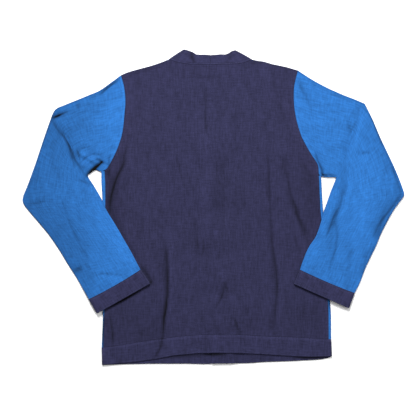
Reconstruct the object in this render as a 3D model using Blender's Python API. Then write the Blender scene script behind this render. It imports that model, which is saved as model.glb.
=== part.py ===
"""A woven cardigan laid flat, face down, with its sleeves folded in over the back.

Sizes are in millimetres and become metres when a mesh is made. X runs across the garment, +Y towards the
neck and +Z up from the surface that it lies on. Left and right are the wearer's, and -X is the left.
Every cloth piece is a wall: points on the middle of the cloth, each with the direction that faces out of
the garment, moved half the cloth's thickness each way.
"""

import math
from collections import namedtuple

import bpy
import numpy as np

MILLIMETRE = 0.001

# Thickness of the cloth, of the doubled cloth in the bands, and the gap left at a seam
CLOTH = 1.2
BAND = 2.0
SEAM_GAP = 0.3

# Heights of the middle of the cloth where the garment lies flat
UNDER = CLOTH / 2
OVER = 3.6
SIDE_PUFF = 0.6
SIDE_PUFF_REACH = 18.0
NECK_SAG = 0.5
NECK_SAG_Y = 265.0
NECK_SAG_SIZE = (45.0, 35.0)

# Sleeves: distance between the middles of the two layers, and the room left over the back
SLEEVE_DEPTH = 3.0
CUFF_DEPTH = 3.2
REST_GAP = 0.8
LIFT_PLATEAU = 22.0
LIFT_REACH = 60.0
# Distance of the last point before the inner fold, how soon the press over the bend ends on the way to it,
# and the share of that press in the rings next to the bend
FOLD_NEAR = 4.0
BEND_END = 1.15
BEND_NEXT = 0.25

# Front closure: bands, buttons and how far the cloth is raised over them
BAND_WIDTH = 30.0
BUTTON_RADIUS = 9.0
BUTTON_HEIGHT = 2.6
BUTTON_LIFT = BUTTON_HEIGHT + SEAM_GAP
BUTTON_PLATEAU = 13.0
BETWEEN_LIFT = 1.0
V_POINT_Y = 129.0
BUTTON_YS = (-239.0, -147.0, -55.0, 37.0, 129.0)
BUTTON_SIDES = 16
# Distances over which that lift fades: up the V neck, across a front, and across the back
V_FADE = 55.0
FRONT_FADE = 50.0
BACK_PLATEAU = 20.0
BACK_FADE = 50.0
# The inner band rises over the outer one this near the centre front, and up to this height
OVERLAP_NEAR = 24.0
OVERLAP_FADE = 26.0
OVERLAP_TOP = 185.0
OVERLAP_TOP_FADE = 40.0
# Up to this height the back keeps the step that the crossed bands give it
BACK_STEP_TOP = 190.0
BACK_STEP_TOP_FADE = 45.0
# Bend of the V neck's seam, beside the neck and below it, and the stretch where its free edge nears the peak
V_START_DROP = 3.0
V_BEND = (6.0, 240.0)
V_STEPS = 40
V_LEAD = (240.0, 85.0)
V_LEAD_RISE = 6.0
# Room for the doubled band where three pieces meet at the side of the neck
NECK_POINT_GAP = 1.3

# Turns of the cloth round a fold, from the upper layer to the lower one
FOLD_STEPS = (0.0, 45.0, 90.0, 135.0, 180.0)
# How far inside a fold the height of the cloth is taken, on the body and on a sleeve
FOLD_INSET = 1.5
SLEEVE_INSET = 2.0
# Points of a smooth curve between two given ones
CURVE_STEPS = 16
# Share left out at both ends of a crease's taper, and how blunt the taper is
CREASE_END = 0.06
CREASE_BLUNT = 0.6
SMOOTH_ANGLE = math.radians(50)

Point = namedtuple("Point", "x y")
EdgeRow = namedtuple("EdgeRow", "y fold_x seam_x")
SleeveRow = namedtuple("SleeveRow", "outer_x outer_y inner_x inner_y")
CreaseRow = namedtuple("CreaseRow", "points height width")

CENTRE_FRONT = (
    Point(12, -350), Point(11, -239), Point(12, -147), Point(3, -55), Point(-2, 37), Point(-5, 129),
)

LEFT, RIGHT = "left", "right"
SIGN = {LEFT: -1.0, RIGHT: 1.0}

# The back stays raised over the crossed bands this far from the centre front, and comes down over the next
BACK_STEP = {LEFT: (18.0, 25.0), RIGHT: (30.0, 45.0)}

# Points well inside the body, a front and the garment, which tell the outer side of a line from the inner
BODY_INSIDE = Point(100, 180)
FRONT_INSIDE = Point(240, 100)
MIDDLE = Point(0, 0)

# The side folds, and the side seams just inside them on the back
SIDE_EDGES = {
    LEFT: (
        EdgeRow(-350, -243.5, -240.5),
        EdgeRow(-308, -244.5, -241.5),
        EdgeRow(-240, -242, -239.2),
        EdgeRow(-120, -242.5, -238),
        EdgeRow(20, -243.2, -237),
        EdgeRow(55, -245.3, -237.2),
        EdgeRow(80, -245.5, -238.5),
    ),
    RIGHT: (
        EdgeRow(-350, 262, 257),
        EdgeRow(-290, 259.5, 254.5),
        EdgeRow(-235, 259.2, 254.3),
        EdgeRow(-120, 251.5, 246.6),
        EdgeRow(-20, 243.2, 238.1),
        EdgeRow(0, 241.3, 236.2),
        EdgeRow(25, 239.8, 235),
        EdgeRow(70, 237.6, 232.9),
    ),
}

# Armhole seams from the underarm up to the shoulder
ARMHOLES = {
    LEFT: (
        Point(-238.5, 82), Point(-232.3, 87.5), Point(-223, 103.5), Point(-210.3, 130),
        Point(-199.5, 165), Point(-194.8, 205), Point(-192.8, 236), Point(-195.8, 266),
        Point(-202.5, 291),
    ),
    RIGHT: (
        Point(232.9, 71.5), Point(231.5, 91), Point(225, 104), Point(216, 117.5), Point(205, 136.5),
        Point(195, 156.5), Point(186.3, 182.6), Point(180.6, 209), Point(178, 236), Point(178.3, 262),
        Point(181, 278.5), Point(187, 301.3),
    ),
}

# Shoulder folds from the armhole to the neck band
SHOULDERS = {
    LEFT: (
        Point(-202.5, 291), Point(-182.5, 299), Point(-138.5, 311), Point(-117, 318), Point(-97, 325.8),
    ),
    RIGHT: (
        Point(187, 301.3), Point(166, 307.6), Point(147.5, 311.9), Point(131, 315.3), Point(112, 320.8),
        Point(100, 322.5), Point(86, 325.4),
    ),
}

# Back neck seam, and the free edge of the neck band above it, from left to right
NECK_SEAM = (
    Point(-97, 325.8), Point(-77, 319.2), Point(-50.5, 315.3), Point(-5.5, 314.8), Point(42, 315.3),
    Point(66, 318.2), Point(86, 325.4),
)
NECK_PEAKS = {LEFT: Point(-64, 349.2), RIGHT: Point(49.5, 347.4)}
NECK_EDGE = (
    Point(-64, 349.2), Point(-54, 345.6), Point(-45, 342.6), Point(-37, 337.3), Point(-28, 336.6),
    Point(-18.7, 336.9), Point(-12, 336.3), Point(-5.5, 335.6), Point(1, 336.1), Point(7.7, 336.6),
    Point(16.5, 337.5), Point(27, 337),
    Point(34, 339.5), Point(40, 344), Point(49.5, 347.4),
)
NECK_BACK_X = -5.5

# Seam and lower edge of the hem band, on the back and on the fronts, as heights along X
BACK_HEM_SEAM = (
    Point(-242, -308), Point(-198, -302.5), Point(-143, -293), Point(-105, -288), Point(-70, -283.5),
    Point(-26, -280.3), Point(40, -279), Point(114, -283.7), Point(187, -286), Point(258, -290),
)
BACK_HEM_EDGE = (
    Point(-242, -346), Point(-180, -341), Point(-128, -334), Point(-88, -326), Point(-33, -321),
    Point(5, -319.8), Point(59, -320.6), Point(114, -323.4), Point(169, -327.2), Point(216, -329),
    Point(260, -327.5),
)
FRONT_HEM_SEAM = (
    Point(-242, -308), Point(-139, -305.5), Point(-29, -305), Point(81, -302), Point(147, -300),
    Point(216, -295), Point(258, -290),
)
FRONT_HEM_EDGE = (
    Point(-242, -347.3), Point(-190, -345.2), Point(-139, -344.3), Point(-60, -344.2),
    Point(-22, -344.9), Point(0, -344.4), Point(12, -343.6),
    Point(43, -343.4), Point(81, -342.9), Point(113, -340.4), Point(148, -339.4), Point(184, -337.9),
    Point(219, -336), Point(236.5, -334.8), Point(254, -331.6), Point(261, -328),
)

# Ends of each ring of the sleeves: the outer fold and the inner fold, from the armhole to the cuff seam
SLEEVES = {
    LEFT: (
        SleeveRow(-202.5, 291, -245.5, 80),
        SleeveRow(-222, 276.5, -249.3, 80),
        SleeveRow(-248.5, 257.8, -253.3, 82),
        SleeveRow(-270.5, 248.2, -257.2, 83.3),
        SleeveRow(-297, 237.3, -261.5, 82),
        SleeveRow(-323.5, 226.6, -266.5, 78.8),
        SleeveRow(-343, 218.3, -272, 74.8),
        SleeveRow(-351.5, 208.5, -277, 71.8),
        SleeveRow(-357.8, 192.5, -276, 69),
        SleeveRow(-369.5, 159.5, -272.5, 62),
        SleeveRow(-380.5, 126.5, -267, 54),
        SleeveRow(-391.5, 93.5, -260.5, 44),
        SleeveRow(-407.5, 49.5, -252, 30),
        SleeveRow(-418, 23, -244.5, 16),
        SleeveRow(-416.8, 8.5, -239.3, 3),
        SleeveRow(-401.7, -11.4, -228.5, -16.5),
        SleeveRow(-381.1, -35.3, -214.8, -38.5),
        SleeveRow(-361.1, -59.9, -200.8, -62.5),
        SleeveRow(-338.5, -92.8, -187.3, -86),
        SleeveRow(-318.4, -125.9, -179.5, -99.5),
        SleeveRow(-297.4, -158.9, -172, -114),
        SleeveRow(-272.6, -201.2, -160, -137),
    ),
    RIGHT: (
        SleeveRow(187, 301.3, 237.6, 70),
        SleeveRow(218, 281.3, 240.5, 68.5),
        SleeveRow(251, 263.4, 246.5, 67.5),
        SleeveRow(270.5, 254.6, 255, 67),
        SleeveRow(288, 247, 263, 67),
        SleeveRow(312.5, 237.5, 270, 66.5),
        SleeveRow(334, 228.3, 273, 64),
        SleeveRow(351.7, 192.5, 269, 57),
        SleeveRow(368.5, 153, 265, 47.5),
        SleeveRow(387, 114, 259.5, 34),
        SleeveRow(403.2, 78.6, 254.5, 20),
        SleeveRow(417.9, 40.4, 248, 2),
        SleeveRow(420, 26, 243.5, -10),
        SleeveRow(409, 10, 240.3, -23),
        SleeveRow(393.8, -12, 234.8, -42),
        SleeveRow(371.5, -54, 226, -65),
        SleeveRow(360.5, -80.5, 213.5, -83.5),
        SleeveRow(348, -106.5, 205.5, -99),
        SleeveRow(335.5, -133, 199.8, -113.5),
        SleeveRow(322.7, -166, 195.4, -125.5),
        SleeveRow(311.5, -188.2, 191.8, -137),
    ),
}
CUFF_ENDS = {
    LEFT: SleeveRow(-254.3, -232.8, -138.8, -167.6),
    RIGHT: SleeveRow(298.5, -221.6, 178.5, -168.6),
}
# How far the cuff seams bow towards the hands in their middle
CUFF_BOW = {LEFT: 2.2, RIGHT: 1.5}
CUFF_RINGS = 4

# The ring that the sleeve is bent over, and how deep its upper layer is pressed in there
BEND_RING = {LEFT: 7, RIGHT: 6}
BEND_DEPTH = 1.3
# How much of the armhole's curve the first rings keep
ARMHOLE_SHARE = (1.0, 0.62, 0.36, 0.18, 0.07)
# Heights between which a sleeve rises from the surface on to the back
SLEEVE_CLIMB = {LEFT: (62.0, 22.0), RIGHT: (45.0, 4.0)}

# Main creases of the back, each a line of points with its height (or depth) and half width
CREASES = (
    CreaseRow(
        (Point(-97, -75), Point(-96, -180), Point(-101, -235), Point(-108, -275), Point(-121, -325)), 1.5, 8,
    ),
    CreaseRow((Point(-110, -80), Point(-110, -180), Point(-115, -235), Point(-128, -305)), -1.1, 9),
    CreaseRow((Point(126, 126), Point(130, 5), Point(139, -82), Point(141, -170), Point(137, -268)), 1.0, 8),
    CreaseRow((Point(150, -90), Point(153, -180), Point(149, -262)), -0.7, 9),
    CreaseRow((Point(176, 110), Point(188, 30), Point(206, -34), Point(222, -66)), -1.0, 12),
    CreaseRow((Point(158, 90), Point(168, 20), Point(183, -50)), 0.9, 12),
    CreaseRow((Point(-183, 145), Point(-203, 104), Point(-223, 60), Point(-232, 0)), -0.9, 12),
    CreaseRow((Point(-172, 110), Point(-192, 60), Point(-205, 0)), 0.8, 13),
    CreaseRow((Point(-15, 262), Point(-13, 170)), -0.7, 9),
    CreaseRow((Point(-40, -50), Point(-30, -105)), 0.8, 10),
    CreaseRow((Point(42, -245), Point(54, -270)), 0.8, 9),
)

# Columns of the back, as positions along the hem seam; the neck starts and ends on two of them
BACK_COLUMNS = (
    -241, -230, -212, -194, -175, -156, -140, -128, -118, -110, -103, -96, -88, -76, -58, -40, -25, -10, 4,
    18, 32, 48, 66, 84, 102, 116, 128, 136, 143, 152, 166, 184, 204, 224, 242, 254,
)
NECK_COLUMNS = (8, 25)
BACK_ROWS_LOW = 21
ARMHOLE_ROWS = 8
FRONT_COLUMNS = 12
FRONT_ROW_YS = (-285, -252, -226, -193, -160, -134, -101, -68, -42, -9, 24, 50, 78)
# Heights where the side folds and the front edges reach the hem seam, and the band's first row above its end
HEM_SEAM_Y = -300.0
FRONT_HEM_SEAM_Y = -305.0
BAND_ROW_Y = -325.0
HEM_LEVELS = 4
BAND_POINTS = 3
# Back neck: way of the band's two edges over the fold, and how near other seams its stations come
SEAM_WAY = (20.0, -6.5)
FREE_WAY = (13.3, -5.5)
WAY_LEAST = 0.4
CENTRE_CLEAR = 4.0
NECK_CLEAR = 6.0

# Radius and height of a button from its face up: a flat middle, a raised rim and a rounded edge
BUTTON_PROFILE = (
    (0.0, 0.5), (5.6, 0.5), (6.6, 0.0), (8.2, 0.0), (BUTTON_RADIUS, 0.8),
    (BUTTON_RADIUS, 1.9), (8.0, BUTTON_HEIGHT), (0.0, BUTTON_HEIGHT),
)

NAVY = (0.042, 0.042, 0.102, 1.0)
BLUE = (0.035, 0.205, 0.604, 1.0)
BUTTON_NAVY = (0.02, 0.022, 0.05, 1.0)


def smooth(t):
    t = min(max(t, 0.0), 1.0)
    return t * t * (3.0 - 2.0 * t)


def height_along(table, x):
    """The y of a curve that is given as points along x."""
    return float(np.interp(x, [p.x for p in table], [p.y for p in table]))


def edge_at(side, y):
    """The x of the side fold and of the side seam at a height y."""
    rows = SIDE_EDGES[side]
    ys = [r.y for r in rows]
    fold_x = float(np.interp(y, ys, [r.fold_x for r in rows]))
    seam_x = float(np.interp(y, ys, [r.seam_x for r in rows]))
    return fold_x, seam_x


def centre_front(y):
    return float(np.interp(y, [p.y for p in CENTRE_FRONT], [p.x for p in CENTRE_FRONT]))


def rounded(points, fractions):
    """Points at fractions of the length of a smooth curve through the given points."""
    p = np.array([(q[0], q[1]) for q in points], float)
    padded = np.vstack([2 * p[0] - p[1], p, 2 * p[-1] - p[-2]])
    fine = []
    for a, b, c, d in zip(padded, padded[1:], padded[2:], padded[3:]):
        for k in range(CURVE_STEPS):
            t = k / CURVE_STEPS
            square = (2 * a - 5 * b + 4 * c - d) * t**2
            cube = (3 * b - a - 3 * c + d) * t**3
            fine.append((2 * b + (c - a) * t + square + cube) / 2)
    fine.append(p[-1])
    fine = np.array(fine)
    run = np.concatenate([[0], np.cumsum(np.linalg.norm(np.diff(fine, axis=0), axis=1))])
    at = np.array(fractions) * run[-1]
    return np.stack([np.interp(at, run, fine[:, 0]), np.interp(at, run, fine[:, 1])], axis=1)


def unit(v):
    return v / np.linalg.norm(v)


def outward(line, inside):
    """For each point of a line, the direction square to it that points away from a point inside."""
    line = np.asarray(line, float)
    along = np.gradient(line, axis=0)
    square = np.stack([along[:, 1], -along[:, 0]], axis=1)
    square /= np.linalg.norm(square, axis=1)[:, None]
    away = ((line - np.asarray(inside, float)) * square).sum(axis=1)
    return square * np.where(away < 0, -1.0, 1.0)[:, None]


# Heights of the layers

def button_lift(y):
    """How far the bands are raised off the surface along the front edge."""
    if y > V_POINT_Y + BUTTON_PLATEAU:
        return BUTTON_LIFT * (1 - smooth((y - V_POINT_Y - BUTTON_PLATEAU) / V_FADE))
    away = min(abs(y - b) for b in BUTTON_YS) - BUTTON_PLATEAU
    middle = (BUTTON_YS[1] - BUTTON_YS[0]) / 2 - BUTTON_PLATEAU
    low = BETWEEN_LIFT if y > BUTTON_YS[0] else BETWEEN_LIFT / 2
    return BUTTON_LIFT - (BUTTON_LIFT - low) * smooth(away / middle)


def overlap_lift(x, y):
    """How much higher the inner band and its front lie, where they cross the outer band."""
    away = abs(x - centre_front(y))
    across = 1 - smooth((away - OVERLAP_NEAR) / OVERLAP_FADE)
    return (BAND + SEAM_GAP) * across * (1 - smooth((y - OVERLAP_TOP) / OVERLAP_TOP_FADE))


def crease_height(x, y):
    total = 0.0
    here = np.array((x, y), float)
    for crease in CREASES:
        line = np.array([(p.x, p.y) for p in crease.points], float)
        nearest = None
        length = np.linalg.norm(np.diff(line, axis=0), axis=1)
        start = np.concatenate([[0], np.cumsum(length)])
        for k in range(len(line) - 1):
            step = line[k + 1] - line[k]
            t = float(np.clip((here - line[k]) @ step / (step @ step), 0, 1))
            gap = float(np.linalg.norm(here - line[k] - t * step))
            if nearest is None or gap < nearest[0]:
                nearest = gap, (start[k] + t * length[k]) / start[-1]
        gap, share = nearest
        taper = math.sin(math.pi * (CREASE_END + (1 - 2 * CREASE_END) * share)) ** CREASE_BLUNT
        total += crease.height * taper * math.exp(-((gap / crease.width) ** 2))
    return total


def back_height(x, y):
    """The middle of the back's cloth above the surface."""
    away = abs(x - centre_front(y))
    near, reach = BACK_STEP[RIGHT if x > centre_front(y) else LEFT]
    over_bands = button_lift(y) * (1 - smooth((away - BACK_PLATEAU) / BACK_FADE))
    top = 1 - smooth((y - BACK_STEP_TOP) / BACK_STEP_TOP_FADE)
    over_overlap = BAND * (1 - smooth((away - near) / reach)) * top
    side = 0.0
    if y < ARMHOLES[LEFT][0].y:
        for name in (LEFT, RIGHT):
            inside = SIGN[name] * (edge_at(name, y)[0] - x)
            side += SIDE_PUFF * math.exp(-((max(inside, 0) / SIDE_PUFF_REACH) ** 2))
    sag_x, sag_y = (x - NECK_BACK_X) / NECK_SAG_SIZE[0], (y - NECK_SAG_Y) / NECK_SAG_SIZE[1]
    sag = NECK_SAG * math.exp(-(sag_x**2) - sag_y**2)
    return OVER + over_bands + over_overlap + side - sag + crease_height(x, y)


def side_height(side, y):
    """The back's height where the side seam meets it."""
    return back_height(edge_at(side, y)[1], y)


def front_height(side, x, y, inner_gap):
    """The middle of a front's cloth, inner_gap from its inner edge."""
    lift = button_lift(y) * (1 - smooth(inner_gap / FRONT_FADE))
    return UNDER + lift + (overlap_lift(x, y) if side == RIGHT else 0.0)


def sleeve_lift(side, x, y):
    """How far the underside of a sleeve lies above the surface."""
    fold_x = edge_at(side, y)[0]
    outside = SIGN[side] * (x - fold_x)
    ramp = 1 - smooth((outside - LIFT_PLATEAU) / (LIFT_REACH - LIFT_PLATEAU))
    low, high = SLEEVE_CLIMB[side]
    climb = smooth((low - y) / (low - high))
    on_back = SIGN[side] * min(SIGN[side] * x, SIGN[side] * fold_x)
    return ramp * climb * (back_height(on_back, y) + CLOTH / 2 + REST_GAP)


# Walls

class Wall:
    """Cloth points with the direction that faces out, and the four-cornered cells between them."""

    def __init__(self, name, thickness, colour):
        self.name = name
        self.thickness = thickness
        self.colour = colour
        self.points = {}
        self.cells = []

    def put(self, key, x, y, z, out=(0.0, 0.0, 1.0)):
        self.points[key] = (np.array((x, y, z), float), unit(np.array(out, float)))

    def grid(self, rows, columns, closed=False):
        """Cells between keys (row, column)."""
        pairs = list(zip(columns, columns[1:]))
        if closed:
            pairs.append((columns[-1], columns[0]))
        for low, high in zip(rows, rows[1:]):
            self.cells += [((low, a), (high, a), (high, b), (low, b)) for a, b in pairs]

    def build(self):
        keys = sorted({k for cell in self.cells for k in cell}, key=str)
        index = {k: n for n, k in enumerate(keys)}
        half = self.thickness / 2
        faces_out = [self.points[k][0] + half * self.points[k][1] for k in keys]
        faces_in = [self.points[k][0] - half * self.points[k][1] for k in keys]
        count = len(keys)
        faces = []
        edges = {}
        for cell in self.cells:
            corner = [index[k] for k in cell]
            faces.append(corner)
            faces.append([c + count for c in reversed(corner)])
            for a, b in zip(corner, corner[1:] + corner[:1]):
                edges[(a, b)] = True
        for a, b in edges:
            if (b, a) not in edges:
                faces.append([b, a, a + count, b + count])
        points = np.array(faces_out + faces_in) * MILLIMETRE
        return make_object(self.name, points, faces, self.colour)


def signed_volume(points, faces):
    total = 0.0
    for face in faces:
        for k in range(1, len(face) - 1):
            total += points[face[0]] @ np.cross(points[face[k]], points[face[k + 1]])
    return total / 6


def make_object(name, points, faces, colour, roughness=0.9):
    if signed_volume(points, faces) < 0:
        faces = [list(reversed(f)) for f in faces]
    mesh = bpy.data.meshes.new(name)
    mesh.from_pydata([tuple(p) for p in points], [], faces)
    mesh.validate()
    material = bpy.data.materials.new(name)
    material.use_nodes = True
    shader = material.node_tree.nodes["Principled BSDF"]
    shader.inputs["Base Color"].default_value = colour
    shader.inputs["Roughness"].default_value = roughness
    shader.inputs["Metallic"].default_value = 0.0
    mesh.materials.append(material)
    mesh.shade_smooth()
    mesh.set_sharp_from_angle(angle=SMOOTH_ANGLE)
    thing = bpy.data.objects.new(name, mesh)
    bpy.context.scene.collection.objects.link(thing)
    return thing


def fold_point(edge, out, middle_z, radius, degrees):
    """A point on the half round of a fold, and the direction out of it.

    0 degrees is on the upper layer, 90 on the outline and 180 on the lower layer.
    """
    turn = math.radians(degrees)
    plan = np.asarray(edge, float) - np.asarray(out, float) * radius * (1 - math.sin(turn))
    z = middle_z + radius * math.cos(turn)
    return (plan[0], plan[1], z), (out[0] * math.sin(turn), out[1] * math.sin(turn), math.cos(turn))


def armhole_points(side, inset):
    """Armhole seam points from the underarm to the shoulder, moved towards the body by inset."""
    curve = rounded(ARMHOLES[side], [k / ARMHOLE_ROWS for k in range(ARMHOLE_ROWS + 1)])
    away = outward(curve, (SIGN[side] * BODY_INSIDE.x, BODY_INSIDE.y))
    return curve - inset * away


def coons(bottom, top, left, right, u, v):
    """Plan points of a patch inside four edges, with the shares of its columns and rows."""
    grid = np.zeros((len(v), len(u), 2))
    for i, b in enumerate(v):
        for j, a in enumerate(u):
            across = (1 - a) * left[i] + a * right[i]
            up = (1 - b) * bottom[j] + b * top[j]
            corners = (
                (1 - a) * (1 - b) * bottom[0] + a * (1 - b) * bottom[-1]
                + (1 - a) * b * top[0] + a * b * top[-1]
            )
            grid[i, j] = across + up - corners
    return grid


def shares(points):
    """Share of a line's length at each of its points."""
    run = np.concatenate([[0], np.cumsum(np.linalg.norm(np.diff(points, axis=0), axis=1))])
    return run / run[-1]


def shoulder_rows(wall, columns, top, out, heights, folded, start_row, direction):
    """Adds the two rows that turn a panel's top edge into the shoulder fold.

    direction is 1 on the back, which turns down, and -1 on a front, which turns up.
    """
    for step, degrees in enumerate(FOLD_STEPS[1:3]):
        for j in columns:
            radius = (heights[j] - UNDER) / 2
            middle = (heights[j] + UNDER) / 2
            turn = degrees if direction > 0 else 180 - degrees
            (x, y, z), normal = fold_point(top[j], out[j], middle, radius, turn)
            if step == 1:
                z += direction * SEAM_GAP / 2
            if not folded[j]:
                z = heights[j]
                normal = (0, 0, 1)
            wall.put((start_row + step, j), x, y, z, normal)


# Panels

def build_back():
    wall = Wall("back", CLOTH, NAVY)
    half = SEAM_GAP / 2
    count = len(BACK_COLUMNS)
    low_y = {side: height_along(BACK_HEM_SEAM, edge_at(side, HEM_SEAM_Y)[1]) + half for side in (LEFT, RIGHT)}
    bottom = [np.array((x, height_along(BACK_HEM_SEAM, x) + half)) for x in BACK_COLUMNS]
    sides = {}
    for side in (LEFT, RIGHT):
        top_y = ARMHOLES[side][0].y
        ys = np.linspace(low_y[side], top_y - half, BACK_ROWS_LOW)
        seam = [np.array((edge_at(side, y)[1] - SIGN[side] * half, y)) for y in ys]
        sides[side] = seam + list(armhole_points(side, half)[1:])
    bottom[0] = sides[LEFT][0]
    bottom[-1] = sides[RIGHT][0]
    top = top_edge(count, half)
    out = outward(top, MIDDLE)
    inner_top = []
    heights = []
    for j, (p, n) in enumerate(zip(top, out)):
        heights.append(back_height(*(p - FOLD_INSET * n)))
        inner_top.append(p - n * (heights[j] - UNDER) / 2)
    for side, j in ((LEFT, 0), (RIGHT, -1)):
        sides[side][-1] = inner_top[j]
    u = (np.array(BACK_COLUMNS, float) - BACK_COLUMNS[0]) / (BACK_COLUMNS[-1] - BACK_COLUMNS[0])
    v = (shares(np.array(sides[LEFT])) + shares(np.array(sides[RIGHT]))) / 2
    grid = coons(bottom, inner_top, sides[LEFT], sides[RIGHT], u, v)
    rows = len(v)
    for i in range(rows):
        for j in range(count):
            x, y = grid[i, j]
            wall.put((i, j), x, y, back_height(x, y))
    folded = [j <= NECK_COLUMNS[0] or j >= NECK_COLUMNS[1] for j in range(count)]
    shoulder_rows(wall, range(count), top, out, heights, folded, rows, 1)
    wall.grid(range(rows + 2), range(count))
    return wall


def top_edge(count, half):
    """The back's upper edge: left shoulder, neck seam, right shoulder."""
    first, last = NECK_COLUMNS
    x = np.array(BACK_COLUMNS, float)
    left = rounded(SHOULDERS[LEFT], (x[: first + 1] - x[0]) / (x[first] - x[0]))
    neck = rounded(NECK_SEAM, (x[first : last + 1] - x[first]) / (x[last] - x[first]))
    right = rounded(SHOULDERS[RIGHT][::-1], (x[last:] - x[last]) / (x[-1] - x[last]))
    line = np.vstack([left, neck[1:-1], right])
    line[first + 1 : last, 1] -= half
    line[0, 0] += half
    line[-1, 0] -= half
    return line


def v_neck(side):
    """The front's neck seam, from the front edge up to the shoulder."""
    start = np.array((centre_front(V_POINT_Y) + SIGN[side] * BAND_WIDTH / 2, V_POINT_Y - V_START_DROP))
    end = np.array(SHOULDERS[side][-1], float)
    bend = np.array((end[0] - SIGN[side] * V_BEND[0], V_BEND[1]))
    curve = []
    for k in range(V_STEPS + 1):
        t = k / V_STEPS
        curve.append((1 - t) ** 2 * start + 2 * t * (1 - t) * bend + t * t * end)
    return np.array(curve)


def front_edge(side):
    """The front's inner edge at each of its rows, from the hem seam to the shoulder."""
    x_at_hem = centre_front(FRONT_HEM_SEAM_Y) + SIGN[side] * BAND_WIDTH / 2
    ys = [height_along(FRONT_HEM_SEAM, x_at_hem)] + [float(y) for y in FRONT_ROW_YS]
    line = [np.array((centre_front(y) + SIGN[side] * BAND_WIDTH / 2, y)) for y in ys]
    curve = v_neck(side)
    lengths = shares(curve)
    picks = np.linspace(0, 1, ARMHOLE_ROWS)
    upper = np.stack([np.interp(picks, lengths, curve[:, 0]), np.interp(picks, lengths, curve[:, 1])], axis=1)
    return line + list(upper)


def build_front(side):
    sign = SIGN[side]
    wall = Wall(f"front_{side}", CLOTH, BLUE)
    half = SEAM_GAP / 2
    inner = front_edge(side)
    rows_low = len(FRONT_ROW_YS) + 1
    underarm_y = SLEEVES[side][0].inner_y - half
    hem_x = edge_at(side, HEM_SEAM_Y)[0]
    hem_y = height_along(FRONT_HEM_SEAM, hem_x) + half
    inner_ys = np.array([p[1] for p in inner[:rows_low]])
    share = (inner_ys - inner_ys[0]) / (inner_ys[-1] - inner_ys[0])
    outer = []
    radii = []
    for s in share:
        y = hem_y + s * (underarm_y - hem_y)
        radius = (side_height(side, y) - UNDER) / 2
        radii.append((y, radius))
        outer.append(np.array((edge_at(side, y)[0] - sign * radius, y)))
    outer += list(armhole_points(side, half)[1:])
    top_line = rounded(SHOULDERS[side], np.linspace(0, 1, FRONT_COLUMNS))
    out = outward(top_line, MIDDLE)
    out[-1] = (0.0, 1.0)
    heights = [back_height(*(p - FOLD_INSET * n)) for p, n in zip(top_line, out)]
    inner_top = [p - n * (h - UNDER) / 2 for p, n, h in zip(top_line, out, heights)]
    inner[-1] = inner_top[-1]
    outer[-1] = inner_top[0]
    top_line[0, 0] -= sign * half
    top_line[-1, 0] += sign * half
    inner = [p + np.array((sign * half, 0.0)) for p in inner]
    u = np.linspace(0, 1, FRONT_COLUMNS)
    bottom = []
    for a in u:
        x = outer[0][0] + a * (inner[0][0] - outer[0][0])
        bottom.append(np.array((x, height_along(FRONT_HEM_SEAM, x) + half)))
    bottom[0] = outer[0]
    bottom[-1] = inner[0] + np.array((0.0, half))
    inner[0] = bottom[-1]
    inner_top[-1] = inner[-1]
    v = (shares(np.array(outer)) + shares(np.array(inner))) / 2
    grid = coons(bottom, inner_top, outer, inner, u, v)
    rows = len(v)
    for i in range(rows):
        for j in range(FRONT_COLUMNS):
            x, y = grid[i, j]
            gap = abs(x - grid[i, -1][0])
            wall.put((i, j), x, y, front_height(side, x, y, gap), (0, 0, -1))
    shoulder_rows(wall, range(FRONT_COLUMNS), top_line, out, heights, [True] * FRONT_COLUMNS, rows, -1)
    wall.grid(range(rows + 2), range(FRONT_COLUMNS))
    wrap = side_wrap(wall, side, radii, rows_low)
    wall.grid(range(rows_low), wrap + [0])
    return wall


def turn_name(degrees):
    return f"turn_{degrees:.0f}"


# The columns that roll round the side fold, from the side seam to the lower layer
WRAP_NAMES = ["seam"] + [turn_name(degrees) for degrees in FOLD_STEPS[:-1]]


def side_wrap(wall, side, radii, rows):
    """Adds the part of a front that rolls round the side fold to its seam on the back."""
    sign = SIGN[side]
    for i in range(rows):
        y, radius = radii[i]
        fold_x, seam_x = edge_at(side, y)
        wall.put((i, "seam"), seam_x + sign * SEAM_GAP / 2, y, UNDER + 2 * radius)
        for degrees in FOLD_STEPS[:-1]:
            spot, normal = fold_point((fold_x, y), (sign, 0.0), UNDER + radius, radius, degrees)
            wall.put((i, turn_name(degrees)), *spot, normal)
    return WRAP_NAMES


# Sleeves and cuffs

def ring(side, outer, inner, outer_out, inner_out, depth, thickness, dip=0.0, shift=None):
    """The points of one ring: round the outer fold, over the upper layer, the inner fold, the lower layer."""
    def layers(x, y):
        low = sleeve_lift(side, x, y) + thickness / 2
        return low, low + depth

    spots = []
    ends = {}
    for key, edge, out in (("outer", outer, outer_out), ("inner", inner, inner_out)):
        low, high = layers(*(edge - SLEEVE_INSET * out))
        ends[key] = (edge, out, (low + high) / 2, (high - low) / 2)
    start = outer - outer_out * ends["outer"][3]
    end = inner - inner_out * ends["inner"][3]
    near = FOLD_NEAR / np.linalg.norm(end - start)
    across = [(k / ARMHOLE_ROWS) * (1 - near) for k in range(1, ARMHOLE_ROWS)] + [1 - near]
    middle = [start + (end - start) * f for f in across]
    if shift is not None:
        middle = [m + s for m, s in zip(middle, shift)]
    for degrees in FOLD_STEPS[2::-1]:
        spots.append(fold_point(*ends["outer"], degrees))
    for f, m in zip(across, middle):
        low, high = layers(*m)
        press = dip * math.sqrt(math.sin(math.pi * min(f * BEND_END, 1)))
        spots.append(((m[0], m[1], high - press), (0, 0, 1)))
    for degrees in FOLD_STEPS:
        spots.append(fold_point(*ends["inner"], degrees))
    for m in reversed(middle):
        spots.append(((m[0], m[1], layers(*m)[0]), (0, 0, -1)))
    for degrees in FOLD_STEPS[:2:-1]:
        spots.append(fold_point(*ends["outer"], degrees))
    return spots, middle


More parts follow.
